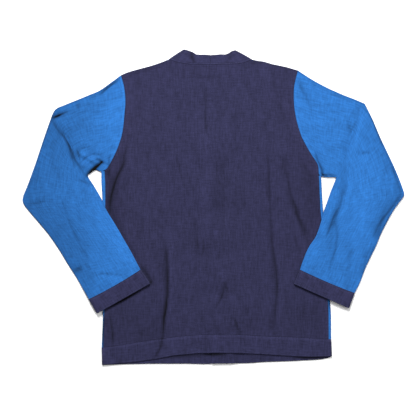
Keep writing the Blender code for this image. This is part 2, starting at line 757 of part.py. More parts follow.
def cuff_way(side):
    """The direction from the cuff seam to the hand."""
    top = SLEEVES[side][-1]
    end = CUFF_ENDS[side]
    return unit(np.array((end.outer_x + end.inner_x - top.outer_x - top.inner_x,
                          end.outer_y + end.inner_y - top.outer_y - top.inner_y)))


def cuff_bow(side, share):
    """How far the points between the two folds are moved towards the hand, at the cuff seam and below."""
    moved = []
    for k in range(1, ARMHOLE_ROWS + 1):
        f = k / ARMHOLE_ROWS
        moved.append(cuff_way(side) * share * CUFF_BOW[side] * 4 * f * (1 - f))
    return moved


def build_sleeve(side):
    sign = SIGN[side]
    wall = Wall(f"sleeve_{side}", CLOTH, BLUE)
    half = SEAM_GAP / 2
    rows = SLEEVES[side]
    outer = np.array([(r.outer_x, r.outer_y) for r in rows])
    inner = np.array([(r.inner_x, r.inner_y) for r in rows])
    outer_out = fold_directions(outer, inner)
    inner_out = fold_directions(inner, outer)
    inner_out[0] = (sign, 0.0)
    shoulder = np.array(SHOULDERS[side][1], float) - np.array(SHOULDERS[side][0], float)
    outer_out[0] = unit(np.array((abs(shoulder[1]) * sign, abs(shoulder[0]))))
    inner[0] = (edge_at(side, inner[0][1])[0], inner[0][1] + half)
    outer[0] += np.array((sign * half, 0.0))
    armhole = armhole_points(side, -half)
    seam = list(armhole[-2:0:-1]) + [armhole[0]]
    straight = ring(side, outer[0], inner[0], outer_out[0], inner_out[0], SLEEVE_DEPTH, CLOTH)[1]
    shift = [a - b for a, b in zip(seam, straight)]
    last = len(rows) - 1
    for i in range(len(rows)):
        share = ARMHOLE_SHARE[i] if i < len(ARMHOLE_SHARE) else 0.0
        moved = [s * share for s in shift]
        near_bend = abs(i - BEND_RING[side])
        dip = BEND_DEPTH * (1.0, BEND_NEXT)[near_bend] if near_bend < 2 else 0.0
        ends = [outer[i], inner[i]]
        if i == last:
            moved = cuff_bow(side, 1.0)
            ends = [e - cuff_way(side) * half for e in ends]
        spots = ring(side, *ends, outer_out[i], inner_out[i], SLEEVE_DEPTH, CLOTH, dip, moved)[0]
        if i == 0:
            spots = meet_body(side, spots)
        for j, (spot, normal) in enumerate(spots):
            wall.put((i, j), *spot, normal)
    wall.grid(range(len(rows)), range(len(spots)), closed=True)
    return wall


def meet_body(side, spots):
    """Gives the first ring the heights of the back and of the side fold that it is sewn to."""
    first_upper = len(FOLD_STEPS[2::-1])
    last_upper = first_upper + ARMHOLE_ROWS
    fitted = []
    for j, ((x, y, z), normal) in enumerate(spots):
        if first_upper <= j < last_upper:
            z = back_height(x, y)
        fitted.append(((x, y, z), normal))
    y = SLEEVES[side][0].inner_y
    radius = (side_height(side, y) - UNDER) / 2
    edge = (edge_at(side, y)[0], y + SEAM_GAP / 2)
    for k, degrees in enumerate(FOLD_STEPS):
        fitted[last_upper + k] = fold_point(edge, (SIGN[side], 0.0), UNDER + radius, radius, degrees)
    turned = last_upper + len(FOLD_STEPS)
    fold, seam = (np.array(fitted[k][0]) for k in (turned - 1, turned + 1))
    fitted[turned] = (tuple(fold + (seam - fold) / 4), (0, 0, -1))
    return fitted


def fold_directions(line, other):
    """Directions out of a folded edge, square to it and away from the other edge."""
    along = np.gradient(line, axis=0)
    square = np.stack([along[:, 1], -along[:, 0]], axis=1)
    square /= np.linalg.norm(square, axis=1)[:, None]
    away = ((line - other) * square).sum(axis=1)
    return square * np.where(away < 0, -1.0, 1.0)[:, None]


def build_cuff(side):
    wall = Wall(f"cuff_{side}", BAND, NAVY)
    top = SLEEVES[side][-1]
    end = CUFF_ENDS[side]
    outer = np.array([(top.outer_x, top.outer_y), (end.outer_x, end.outer_y)], float)
    inner = np.array([(top.inner_x, top.inner_y), (end.inner_x, end.inner_y)], float)
    outer[0] += cuff_way(side) * SEAM_GAP / 2
    inner[0] += cuff_way(side) * SEAM_GAP / 2
    outer_out = fold_directions(outer, inner)[0]
    inner_out = fold_directions(inner, outer)[0]
    for i in range(CUFF_RINGS):
        f = i / (CUFF_RINGS - 1)
        a = outer[0] + (outer[1] - outer[0]) * f
        b = inner[0] + (inner[1] - inner[0]) * f
        spots = ring(side, a, b, outer_out, inner_out, CUFF_DEPTH, BAND, shift=cuff_bow(side, 1 - f))[0]
        for j, (spot, normal) in enumerate(spots):
            wall.put((i, j), *spot, normal)
    wall.grid(range(CUFF_RINGS), range(len(spots)), closed=True)
    return wall


# Bands

def build_hem_band(fronts, back):
    """The hem band, which meets the lower edges of the two fronts and of the back."""
    wall = Wall("hem_band", BAND, NAVY)
    step = (BAND - CLOTH) / 2
    path = []
    for side in (LEFT, RIGHT):
        front = fronts[side]
        names = list(range(FRONT_COLUMNS - 1, -1, -1)) + WRAP_NAMES[::-1]
        part = []
        for name in names:
            spot, normal = front.points[(0, name)]
            part.append((side, name, spot, normal))
        path.append(part)
    over = [("back", j, *back.points[(0, j)]) for j in range(len(BACK_COLUMNS))]
    whole = path[0] + over + path[1][::-1]
    for column, (group, name, spot, normal) in enumerate(whole):
        x, y, z = spot
        for i in range(HEM_LEVELS):
            f = i / (HEM_LEVELS - 1)
            if group == "back":
                low = height_along(BACK_HEM_EDGE, x)
                yy = y - SEAM_GAP + (low - y + SEAM_GAP) * f
                zz = back_height(x, yy) + step / 2
                wall.put((i, column), x, yy, zz, normal)
                continue
            low = height_along(FRONT_HEM_EDGE, x)
            if name in WRAP_NAMES[:2]:
                low = height_along(BACK_HEM_EDGE, x)
            yy = y - SEAM_GAP + (low - y + SEAM_GAP) * f
            fold_x, seam_x = edge_at(group, yy)
            top_z = side_height(group, yy) + step / 2
            radius = (top_z - BAND / 2) / 2
            if name == "seam":
                wall.put((i, column), seam_x + SIGN[group] * SEAM_GAP / 2, yy, top_z)
            elif isinstance(name, str):
                degrees = float(name.split("_")[1])
                where, out = fold_point((fold_x, yy), (SIGN[group], 0.0), top_z - radius, radius, degrees)
                wall.put((i, column), *where, out)
            else:
                inner = centre_front(yy) + SIGN[group] * (BAND_WIDTH / 2 + SEAM_GAP / 2)
                outer = fold_x - SIGN[group] * radius
                a = name / (FRONT_COLUMNS - 1)
                xx = outer + (inner - outer) * a
                height = front_height(group, xx, yy, abs(xx - inner)) + step
                wall.put((i, column), xx, yy, height, (0, 0, -1))
    wall.grid(range(HEM_LEVELS), range(len(whole)))
    return wall


def band_height(side, x, y):
    """The middle of a front band above the surface."""
    return BAND / 2 + button_lift(y) + (overlap_lift(x, y) if side == RIGHT else 0.0)


def build_neck_band(side, fronts, back):
    """One half of the band: up the front edge and the V neck, over the fold at the shoulder, to the back."""
    sign = SIGN[side]
    wall = Wall(f"neck_band_{side}", BAND, NAVY)
    half = SEAM_GAP / 2
    stations = []
    front = fronts[side]
    last = FRONT_COLUMNS - 1
    front_rows = len(FRONT_ROW_YS) + 1 + ARMHOLE_ROWS
    for y in (height_along(FRONT_HEM_EDGE, CENTRE_FRONT[0].x), BAND_ROW_Y):
        stations.append(np.array((centre_front(y) + sign * (BAND_WIDTH / 2 - half), y)))
    for i in range(front_rows - 1):
        spot = front.points[(i, last)][0]
        stations.append(np.array((spot[0] - sign * SEAM_GAP, spot[1])))
    seam = np.array(stations)
    free = seam + BAND_WIDTH * outward(seam, (sign * FRONT_INSIDE.x, FRONT_INSIDE.y))
    neck = np.array(SHOULDERS[side][-1], float)
    peak = np.array(NECK_PEAKS[side], float)
    ledge = free_edge_in_v(free, peak)
    rows = 0
    for s, f in zip(seam, ledge):
        for c in range(BAND_POINTS):
            p = s + (f - s) * c / (BAND_POINTS - 1)
            wall.put((rows, c), p[0], p[1], band_height(side, p[0], p[1]), (0, 0, -1))
        rows += 1
    fold = unit(peak - neck)
    out = np.array((fold[1], -fold[0])) * (1.0 if fold[1] * sign > 0 else -1.0)
    top_z = back_height(*(neck - SLEEVE_INSET * out)) + (BAND - CLOTH) / 4
    radius = (top_z - BAND / 2) / 2
    down = {"seam": unit(seam[-1] - neck), "free": unit(ledge[-1] - peak)}
    over = {
        "seam": unit(np.array((-sign * SEAM_WAY[0], SEAM_WAY[1]))),
        "free": unit(np.array((-sign * FREE_WAY[0], FREE_WAY[1]))),
    }
    for degrees in reversed(FOLD_STEPS):
        ways = down if degrees > 90 else over
        gap = radius * (1 - math.sin(math.radians(degrees)))
        ends = []
        for key, corner in (("seam", neck), ("free", peak)):
            way = ways[key]
            ends.append(corner + way * gap / max(abs(way @ out), WAY_LEAST))
        ends[0] = ends[0] + unit(peak - neck) * NECK_POINT_GAP
        turn = math.radians(degrees)
        for c in range(BAND_POINTS):
            p = ends[0] + (ends[1] - ends[0]) * c / (BAND_POINTS - 1)
            z = top_z - radius + radius * math.cos(turn)
            faces = (out[0] * math.sin(turn), out[1] * math.sin(turn), math.cos(turn))
            wall.put((rows, c), p[0], p[1], z, faces)
        rows += 1
    for s, f in back_neck_stations(side, back):
        for c in range(BAND_POINTS):
            p = s + (f - s) * c / (BAND_POINTS - 1)
            wall.put((rows, c), p[0], p[1], back_height(p[0], p[1]) + (BAND - CLOTH) / 4)
        rows += 1
    wall.grid(range(rows), range(BAND_POINTS))
    return wall


def free_edge_in_v(free, peak):
    """The band's free edge, led to the peak over the last stretch of the V neck."""
    led = []
    for p in free:
        f = smooth((p[1] - V_LEAD[0]) / V_LEAD[1])
        led.append(np.array((p[0] + f * (peak[0] - p[0]), p[1] + f * V_LEAD_RISE)))
    return np.array(led)


def back_neck_stations(side, back):
    """Pairs of seam and free points along the back neck, from the fold to the centre seam."""
    sign = SIGN[side]
    half = SEAM_GAP / 2
    first, last = NECK_COLUMNS
    top_row = max(k[0] for k in back.points)
    columns = range(first + 1, last)
    seam = [back.points[(top_row, j)][0][:2] + np.array((0.0, SEAM_GAP)) for j in columns]
    neck_x = SHOULDERS[side][-1].x
    seam = [p for p in seam if sign * (p[0] - NECK_BACK_X) > CENTRE_CLEAR and abs(p[0] - neck_x) > NECK_CLEAR]
    seam.sort(key=lambda p: -sign * p[0])
    seam.append(np.array((NECK_BACK_X + sign * half, height_along(NECK_SEAM, NECK_BACK_X) + half)))
    peak_x = NECK_PEAKS[side].x
    pairs = []
    for s in seam:
        f = (s[0] - NECK_BACK_X) / (neck_x - NECK_BACK_X)
        x = NECK_BACK_X + sign * half + (peak_x - NECK_BACK_X) * f
        pairs.append((np.asarray(s, float), np.array((x, height_along(NECK_EDGE, x)))))
    return pairs


# Buttons

def build_button(number, y):
    """A turned button with a raised rim and a rounded edge, lying on its face."""
    x0 = centre_front(y)
    points = []
    rings = []
    for r, z in BUTTON_PROFILE:
        if r == 0:
            rings.append([len(points)])
            points.append((x0, y, z))
            continue
        rings.append(list(range(len(points), len(points) + BUTTON_SIDES)))
        for k in range(BUTTON_SIDES):
            turn = 2 * math.pi * k / BUTTON_SIDES
            points.append((x0 + r * math.cos(turn), y + r * math.sin(turn), z))
    faces = []
    for low, high in zip(rings, rings[1:]):
        for k in range(BUTTON_SIDES):
            n = (k + 1) % BUTTON_SIDES
            if len(low) == 1:
                faces.append([low[0], high[n], high[k]])
            elif len(high) == 1:
                faces.append([low[k], low[n], high[0]])
            else:
                faces.append([low[k], low[n], high[n], high[k]])
    points = np.array(points) * MILLIMETRE
    make_object(f"button_{number}", points, faces, BUTTON_NAVY, 0.4)


def main():
    for thing in list(bpy.data.objects):
        bpy.data.objects.remove(thing, do_unlink=True)
    back = build_back()
    fronts = {side: build_front(side) for side in (LEFT, RIGHT)}
    walls = [back, fronts[LEFT], fronts[RIGHT]]
    for side in (LEFT, RIGHT):
        walls.append(build_sleeve(side))
        walls.append(build_cuff(side))
        walls.append(build_neck_band(side, fronts, back))
    walls.append(build_hem_band(fronts, back))
    for wall in walls:
        wall.build()
    for number, y in enumerate(BUTTON_YS, start=1):
        build_button(number, y)


main()
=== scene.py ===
"""The looks of a woven cardigan that lies flat, face down, with its sleeves folded in over the back.

Sizes are in millimetres and become metres when a mesh is made. X runs across the garment, +Y towards the
neck and +Z up from the surface that it lies on. Left and right are the wearer's, and -X is the left.
Every cloth piece is a thin wall: points on the middle of the cloth, each with the direction that faces
out of the garment, moved half the cloth's thickness each way.
"""

import math
from collections import namedtuple

import bmesh
import bpy
import numpy as np
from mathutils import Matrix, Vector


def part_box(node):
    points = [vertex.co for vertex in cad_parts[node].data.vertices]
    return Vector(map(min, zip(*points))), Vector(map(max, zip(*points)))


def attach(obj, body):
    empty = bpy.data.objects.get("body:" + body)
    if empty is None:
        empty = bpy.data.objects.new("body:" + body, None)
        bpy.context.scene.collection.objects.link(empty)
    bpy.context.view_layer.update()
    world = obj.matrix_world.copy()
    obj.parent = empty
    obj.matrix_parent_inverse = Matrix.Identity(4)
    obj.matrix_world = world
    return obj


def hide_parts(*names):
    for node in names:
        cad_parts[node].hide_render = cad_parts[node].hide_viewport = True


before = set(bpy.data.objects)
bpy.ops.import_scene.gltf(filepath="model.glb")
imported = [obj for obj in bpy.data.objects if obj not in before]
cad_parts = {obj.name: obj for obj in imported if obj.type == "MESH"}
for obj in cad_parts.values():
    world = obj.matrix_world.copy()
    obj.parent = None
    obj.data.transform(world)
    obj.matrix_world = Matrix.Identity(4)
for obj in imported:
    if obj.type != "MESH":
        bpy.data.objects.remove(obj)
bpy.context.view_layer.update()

MILLIMETRE = 0.001
UP, DOWN = (0.0, 0.0, 1.0), (0.0, 0.0, -1.0)
LEFT, RIGHT = SIDES = ("left", "right")
SIGN = {LEFT: -1.0, RIGHT: 1.0}

# The shape of the laid garment, as its solids have it
CLOTH = 1.2
BAND = 2.0
# The middle of the lowest layer and of the back above the surface
UNDER = CLOTH / 2
OVER = 3.6
SIDE_PUFF = 0.6
SIDE_PUFF_REACH = 18.0
SLEEVE_DEPTH = 3.0
CUFF_DEPTH = 3.2
# The back sags a little below the neck: how deep, where, and how wide and long
NECK_SAG = 0.5
NECK_SAG_Y = 265.0
NECK_SAG_SIZE = (45.0, 35.0)
NECK_BACK_X = -5.5
# Air between a sleeve and the back, and how far beside the body the sleeve comes down to the surface
REST_GAP = 0.8
LIFT_PLATEAU = 22.0
LIFT_REACH = 60.0
# The front bands over the buttons: how high, how far along the band, and how low between the buttons
BAND_WIDTH = 30.0
BUTTON_YS = np.array((-239.0, -147.0, -55.0, 37.0, 129.0))
BUTTON_LIFT = 2.9
BUTTON_PLATEAU = 13.0
BETWEEN_LIFT = 1.0
V_POINT_Y = 129.0
V_FADE = 55.0
FRONT_FADE = 50.0
# The inner band over the outer one: its lift fades across the garment and above the V neck's point
OVERLAP_LIFT = 2.3
OVERLAP_NEAR = 24.0
OVERLAP_FADE = 26.0
OVERLAP_TOP = 185.0
OVERLAP_TOP_FADE = 40.0
# The back over the bands: flat in the middle, then falling, with a step down beside the doubled bands
BACK_PLATEAU = 20.0
BACK_FADE = 50.0
BACK_STEP = {LEFT: (18.0, 25.0), RIGHT: (30.0, 45.0)}
BACK_STEP_TOP = 190.0
BACK_STEP_TOP_FADE = 45.0
# Where the V neck's seam starts below its point, and the point that bends it, from the shoulder inwards
V_START_DROP = 3
V_BEND_IN = 6
V_BEND_Y = 240.0
V_STEPS = 60
# The free edge of a neck band leaves the V neck's line for its peak from this height, over this much
V_LEAD_Y = 240
V_LEAD = 85
V_LEAD_RISE = 6

# Pieces meet edge to edge at their seams, with this much air between them
SEAM_GAP = 0.04
HALF_SEAM = SEAM_GAP / 2
# A plan point inside each armhole's curve, in the neck, and beside a neck band
ARMHOLE_INSIDE = (100, 180)
MIDDLE = (0, 0)
BESIDE_BAND = (240, 100)
# Heights at which the side edges and the front's middle are read for the hem, its seam and its sides
HEM_Y = -325.0
HEM_SEAM_Y = -305
HEM_SIDE_Y = -300
HEM_BAND_X = 12
HEM_ENDS = (-241.0, 254.5)
HEM_WIDTH = 38.0
# In its turn round the side, below this many degrees, the hem band follows the back's edge
HEM_TURN = 40
# The back's columns that the neck seam lies between. Over this width beside them the fold becomes a seam
NECK_COLUMNS = (-118.0, 116.0)
NECK_TURN = 12.0
# How far inside a folded edge the layer's height is read
FOLD_INSET = 1.5
BAND_INSET = 2
# Rows of the panels below and above the underarm, and the columns of a front
BACK_ROWS = (140, 87)
FRONT_ROWS = (110, 67)
FRONT_TOP_Y = 78.0
FRONT_SPAN = 200.0
FRONT_WIDTH = 220
# Where a front's creases start from its edge, and over how far they grow
FRONT_CREASE_FROM = 4
FRONT_CREASE_REACH = 16

# The sleeves: steps between two rings, the ring at the elbow, and how deep the bend is pressed in
RING_STEPS = 8
BEND_RING = {LEFT: 7, RIGHT: 6}
BEND_DEPTH = 1.3
BEND_SHARES = (1.0, 0.25, 0.0)
BEND_SKEW = 1.15
# How much of the armhole's curve each of the first rings takes, over how many rings the sleeve leaves the
# back's surface, and between which heights it climbs onto the back
ARMHOLE_SHARE = (1.0, 0.62, 0.36, 0.18, 0.07, 0.0)
ARMHOLE_MEET = 1.5
SLEEVE_CLIMB = {LEFT: (62.0, 22.0), RIGHT: (45.0, 4.0)}
# Steps of the armhole's line that distances are measured from
ARMHOLE_STEPS = 60
# The sleeve's cloth stands up beside the armhole seam: how high, how far from it, and how wide
ARMHOLE_RIDGE = 0.5
ARMHOLE_RIDGE_AT = 3.5
ARMHOLE_RIDGE_WIDTH = 3
# Creases grow over this share of a tube's width beside a fold, from this share of their height
CREASE_GROW = 0.04
CREASE_AT_FOLD = 0.35
# How far the cuff seams bow towards the hands in their middle
CUFF_BOW = {LEFT: 2.2, RIGHT: 1.5}

# The neck band's turn over the shoulder: its ways in plan on the back, at the seam and at the peak, and
# from how many degrees on, and over how many, they change into the front's. The rest is the least
# slope of a way, and where the band's part on the back begins
TURN_FROM = 60
TURN_SPAN = 60
TURN_LEAST = 0.4
TURN_WAYS = ((20.0, 6.5), (13.3, 5.5))
NECK_START = 6.5
NECK_STEPS = 36
# How softly the free edge of the neck band turns over its two peaks
PEAK_ROUND = 4.5

# Rows and columns of the cloth, and extra ones beside an edge, where it rounds off
PITCH = 2.8
BAND_PITCH = 2.4
CUFF_PITCH = 2.2
HEM_PITCH = 3.2
EDGE_STEPS = (0.0, 0.25, 0.7, 1.4, 2.4)
BAND_STEPS = (0.0, 0.25, 0.7, 1.4, 2.2, 3.0, 3.8)
FOLD_TURNS = 8
CURVE_STEPS = 16
CREASE_STEPS = 4
# Every third or second point of a fine line is enough to measure a distance from
COARSE = slice(None, None, 3)
HALVED = slice(None, None, 2)
# How far the rounding of a cut edge reaches, and what is left of the cloth's thickness there
CUT_REACH = 0.7
CUFF_REACH = 0.8
BAND_REACH = 1.2
RIM_SHARE = 0.04

# Deepest that a crease of the upper cloth may sink before it meets the cloth under it
DEEPEST = -1.5
# Creases fade at their ends, from this share of their length, and by this power
CREASE_END_SHARE = 0.06
CREASE_FADE_POWER = 0.6
# Width of the painted dark line of shade in the bottom of a crease, as a share of the crease's, and its
# share of the tone
CORE_SHARE = 0.4
BROAD_TONE = 0.4
# Painted shade along a folded edge, where the cloth turns down: how dark, and over how far. Past the
# elbow it is weaker
FOLD_EDGE_SHADE = -0.3
EDGE_REACH = 2.6
INNER_EDGE_SHARE = 0.3
ELBOW_SHARE = 0.4
ELBOW_FADE = 0.1
PAST_ELBOW = 0.7
# The underside's creases show where the way out of the cloth points lower than this
UNDER_FROM = -0.3
# A seam's groove, with painted shade, and the cloth beside it, with painted highlight and wear: widths,
# and the distance between them
GROOVE_WIDTH = 0.9
WEAR_AND_HIGHLIGHT_WIDTH = 1.4
WEAR_AND_HIGHLIGHT_AT = 2.6
# How dark the painted shade in each seam's groove is, and how light the painted highlight and wear beside
# it
BACK_SEAM = (-0.2, 0.05)
SLEEVE_SEAM = (-0.1, 0.16)
CUFF_SEAM = {LEFT: (-0.6, 0.12), RIGHT: (-0.4, 0.12)}
HEM_SEAM = (-0.1, 0.3)
NECK_BAND_SEAM = (-0.15, 0.12)
# The side seam's tone on a front's strip: painted shade in its groove, and painted highlight and wear
# beside it
SIDE_SEAM_TONES = (-0.2, 0.06)
# Painted highlights where the buttons press through the back: their width and how light
BUMP_HIGHLIGHT_WIDTH = 4.0
BUMP_HIGHLIGHT_TONE = 0.2

# Stitches: their pitch, length and radius, their rings as shares of the length and radius, how deep they
# sink, and half the length over which their direction is read
STITCH_PITCH = 3.6
STITCH_LENGTH = 2.7
THREAD_RADIUS = 0.26
THREAD_SIDES = 5
STITCH_RINGS = ((-0.5, 0.35), (-0.3, 1.0), (0.3, 1.0), (0.5, 0.35))
STITCH_SINK = 0.65
STITCH_LOOK = 0.5
# The step from a band's edge that its stitches lie on, and the groove that they pull into the cloth
STITCH_ROW = 5
STITCH_GROOVE = 0.22
STITCH_GROOVE_WIDTH = 0.6
# The stitched line beside an armhole: how far inside the seam, and where it starts and ends
ARMHOLE_STITCH = 5.0
ARMHOLE_STITCH_ENDS = (0.02, 0.98)
ARMHOLE_STITCH_STEPS = 120
# The bars of thread round a buttonhole: their size, and how far the slit reaches beside the button
BAR_PITCH = 0.8
BAR_LENGTH = 1.7
BAR_RADIUS = 0.34
BAR_SIDE = 0.55
BAR_END = 0.6
BAR_END_STEPS = np.array((-0.8, 0.0, 0.8))
BUTTONHOLE_LOW = 15.0
BUTTONHOLE_HIGH = 3.0

# Buttons. A profile's rows are a share of the radius and a height above the face's rim or the back
BUTTON_SIDES = 48
DISH_DEPTH = 0.8
BUTTON_FACE = (
    (0.60, DISH_DEPTH), (0.68, 0.35), (0.76, 0.06), (0.84, 0.0), (0.93, 0.2), (0.985, 0.7), (1.0, 1.3),
)
BUTTON_BACK = ((0.975, -0.35), (0.92, 0.0))
BUTTON_INSET = 0.1
HOLE_SIDES = 16
HOLE_RADIUS = 0.95
HOLE_OFFSET = 1.75
BUTTON_THREAD = 0.4
BUTTON_THREAD_SIDES = 8
BUTTON_THREAD_STEPS = 3
THREAD_END = 0.5
# The thread between two holes: steps away from a hole, and heights above the button's face
THREAD_DIPS = ((0.0, 0.0), (0.15, -0.26), (0.7, -0.38))

# Points closer than this, in metres, are one, and edges sharper than this, in degrees, stay sharp
WELD = 0.00002
CLOTH_CRISP = 55
HARD_CRISP = 50

# Colours of the cloth, thread and buttons
NAVY = (0.0200, 0.0199, 0.0545)
NAVY_BAND = (0.0213, 0.0213, 0.0585)
BLUE = (0.0175, 0.116, 0.365)
THREAD_NAVY = (0.034, 0.034, 0.082)
BUTTON_NAVY = (0.012, 0.013, 0.032)
# How strongly the slubs show in each cloth
NAVY_CONTRAST = 0.84
BLUE_CONTRAST = 0.66
BAND_CONTRAST = 1.0
# Spacing of the threads, in metres, and how they waver
THREAD_PITCH = 0.0009
WOBBLE = 1.6
WOBBLE_SCALE = 180.0
# Scales of the slubs of both sets of threads and of the patches of colour, and their shares
WEFT_SCALE, WEFT_SHARE = (58.0, 330.0), 0.87
WARP_SCALE, WARP_SHARE = (310.0, 42.0), 1.03
PATCH_SCALE, PATCH_SHADE = (46.0, 18.0), 0.65
SLUB_SHADE = 1.3
SLUB_MEAN = 0.95
WEAVE_SHADE = 0.07
SLUB_HEIGHT = 0.9
WEAVE_HEIGHT = 0.35
WEAVE_BUMP = {"Strength": 0.6, "Distance": 0.0005}
LINEN_FINISH = {
    "Roughness": 0.88, "Specular IOR Level": 0.12, "Sheen Weight": 0.04, "Sheen Roughness": 0.5,
}
# Thread: the scale of its twist, how much of the shade it is and the least shade
TWIST_SCALE = 1800.0
TWIST_SHADE = (0.7, 0.65)
THREAD_FINISH = {"Roughness": 0.6, "Specular IOR Level": 0.2}
# Buttons: the swirl's scale, detail and roughness, and the shade and the surface's roughness, as above
SWIRL = (260.0, 3, 0.55)
SWIRL_SHADE = (0.9, 0.55)
GRAIN_SCALE = 1500.0
GRAIN_ROUGHNESS = (0.2, 0.22)

# The camera looks straight down, in metres, and its view is this wide on the garment's upper side
CAMERA = (-0.011, -0.0011, 2.8)
UPPER_SIDE = 0.006
VIEW_WIDTH = 0.9152
SENSOR = 36.0
CLIP_END = 20.0
# Lamps: name, place, size and power
LAMPS = (
    ("key", (-0.5, 2.2, 2.2), 0.9, 150.0),
    ("fill", (1.3, 0.5, 2.5), 1.8, 34.0),
)
ROOM_LIGHT = 0.3
FLOOR_SIZE = 12
FLOOR_Z = -0.0004
FLOOR_FINISH = {"Base Color": (0.93, 0.93, 0.93, 1), "Roughness": 0.9, "Specular IOR Level": 0.1}

# What shows of each cut piece from seam to seam, in metres and square metres, what it lies on and its
# thread
Cut = namedtuple("Cut", "width length area rests_on sewn")
# The middle of the closed front, as points along its height
CENTRE_FRONT = (
    (12, -350), (11, -239), (12, -147), (3, -55), (-2, 37), (-5, 129),
)
# Rows of a height y, the x of the side fold and the x of the side seam beside it, on the back
SIDE_EDGES = {
    LEFT: (
        (-350, -243.5, -240.5), (-308, -244.5, -241.5), (-240, -242, -239.2), (-120, -242.5, -238),
        (20, -243.2, -237), (55, -245.3, -237.2), (80, -245.5, -238.5),
    ),
    RIGHT: (
        (-350, 262, 257), (-290, 259.5, 254.5), (-235, 259.2, 254.3), (-120, 251.5, 246.6),
        (-20, 243.2, 238.1), (0, 241.3, 236.2), (25, 239.8, 235), (70, 237.6, 232.9),
    ),
}
# Armhole seams from the underarm up, and the shoulder folds from there to the neck
ARMHOLES = {
    LEFT: (
        (-238.5, 82), (-232.3, 87.5), (-223, 103.5), (-210.3, 130), (-199.5, 165), (-194.8, 205),
        (-192.8, 236), (-195.8, 266), (-202.5, 291),
    ),
    RIGHT: (
        (232.9, 71.5), (231.5, 91), (225, 104), (216, 117.5), (205, 136.5), (195, 156.5), (186.3, 182.6),
        (180.6, 209), (178, 236), (178.3, 262), (181, 278.5), (187, 301.3),
    ),
}
SHOULDERS = {
    LEFT: (
        (-202.5, 291), (-182.5, 299), (-138.5, 311), (-117, 318), (-97, 325.8),
    ),
    RIGHT: (
        (187, 301.3), (166, 307.6), (147.5, 311.9), (131, 315.3), (112, 320.8), (100, 322.5), (86, 325.4),
    ),
}
# The seam round the back of the neck, the band's free edge there, and that edge's two peaks
NECK_SEAM = (
    (-97, 325.8), (-77, 319.2), (-50.5, 315.3), (-5.5, 314.8), (42, 315.3), (66, 318.2), (86, 325.4),
)
NECK_EDGE = (
    (-64, 349.2), (-54, 345.6), (-45, 342.6), (-37, 337.3), (-28, 336.6), (-18.7, 336.9), (-12, 336.3),
    (-5.5, 335.6), (1, 336.1), (7.7, 336.6), (16.5, 337.5), (27, 337), (34, 339.5), (40, 344),
    (49.5, 347.4),
)
NECK_PEAKS = {LEFT: (-64, 349.2), RIGHT: (49.5, 347.4)}
# Upper and lower edges of the hem band, on the back and on the fronts
BACK_HEM_SEAM = (
    (-242, -308), (-198, -302.5), (-143, -293), (-105, -288), (-70, -283.5), (-26, -280.3), (40, -279),
    (114, -283.7), (187, -286), (258, -290),
)
BACK_HEM_EDGE = (
    (-242, -346), (-180, -341), (-128, -334), (-88, -326), (-33, -321), (5, -319.8), (59, -320.6),
    (114, -323.4), (169, -327.2), (216, -329), (260, -327.5),
)
FRONT_HEM_SEAM = (
    (-242, -308), (-139, -305.5), (-29, -305), (81, -302), (147, -300), (216, -295), (258, -290),
)
FRONT_HEM_EDGE = (
    (-242, -347.3), (-190, -345.2), (-139, -344.3), (-60, -344.2), (-22, -344.9), (0, -344.4),
    (12, -343.6), (43, -343.4), (81, -342.9), (113, -340.4), (148, -339.4), (184, -337.9), (219, -336),
    (236.5, -334.8), (254, -331.6), (261, -328),
)
# The sleeves' rings from the armhole to the cuff seam: x and y of the outer and of the inner fold
SLEEVES = {
    LEFT: (
        (-202.5, 291, -245.5, 80), (-222, 276.5, -249.3, 80), (-248.5, 257.8, -253.3, 82),
        (-270.5, 248.2, -257.2, 83.3), (-297, 237.3, -261.5, 82), (-323.5, 226.6, -266.5, 78.8),
        (-343, 218.3, -272, 74.8), (-351.5, 208.5, -277, 71.8), (-357.8, 192.5, -276, 69),
        (-369.5, 159.5, -272.5, 62), (-380.5, 126.5, -267, 54), (-391.5, 93.5, -260.5, 44),
        (-407.5, 49.5, -252, 30), (-418, 23, -244.5, 16), (-416.8, 8.5, -239.3, 3),
        (-401.7, -11.4, -228.5, -16.5), (-381.1, -35.3, -214.8, -38.5), (-361.1, -59.9, -200.8, -62.5),
        (-338.5, -92.8, -187.3, -86), (-318.4, -125.9, -179.5, -99.5), (-297.4, -158.9, -172, -114),
        (-272.6, -201.2, -160, -137),
    ),
    RIGHT: (
        (187, 301.3, 237.6, 70), (218, 281.3, 240.5, 68.5), (251, 263.4, 246.5, 67.5),
        (270.5, 254.6, 255, 67), (288, 247, 263, 67), (312.5, 237.5, 270, 66.5), (334, 228.3, 273, 64),
        (351.7, 192.5, 269, 57), (368.5, 153, 265, 47.5), (387, 114, 259.5, 34),
        (403.2, 78.6, 254.5, 20), (417.9, 40.4, 248, 2), (420, 26, 243.5, -10), (409, 10, 240.3, -23),
        (393.8, -12, 234.8, -42), (371.5, -54, 226, -65), (360.5, -80.5, 213.5, -83.5),
        (348, -106.5, 205.5, -99), (335.5, -133, 199.8, -113.5), (322.7, -166, 195.4, -125.5),
        (311.5, -188.2, 191.8, -137),
    ),
}
CUFF_ENDS = {LEFT: (-254.3, -232.8, -138.8, -167.6), RIGHT: (298.5, -221.6, 178.5, -168.6)}


def table(kind, *rows):
    """Rows of a kind of line: its numbers, and after them the points that it runs through."""
    numbers = len(kind._fields) - 1
    return [kind(*row[:numbers], row[numbers:]) for row in rows]


# Creases, which lift or sink the cloth by height. Each line runs down the garment: soft is its half
# width on its -X side, sharp the one on its +X side, and tone the painted shade (below 0) or painted
# highlight that the crease gets.
Crease = namedtuple("Crease", "height soft sharp tone points")
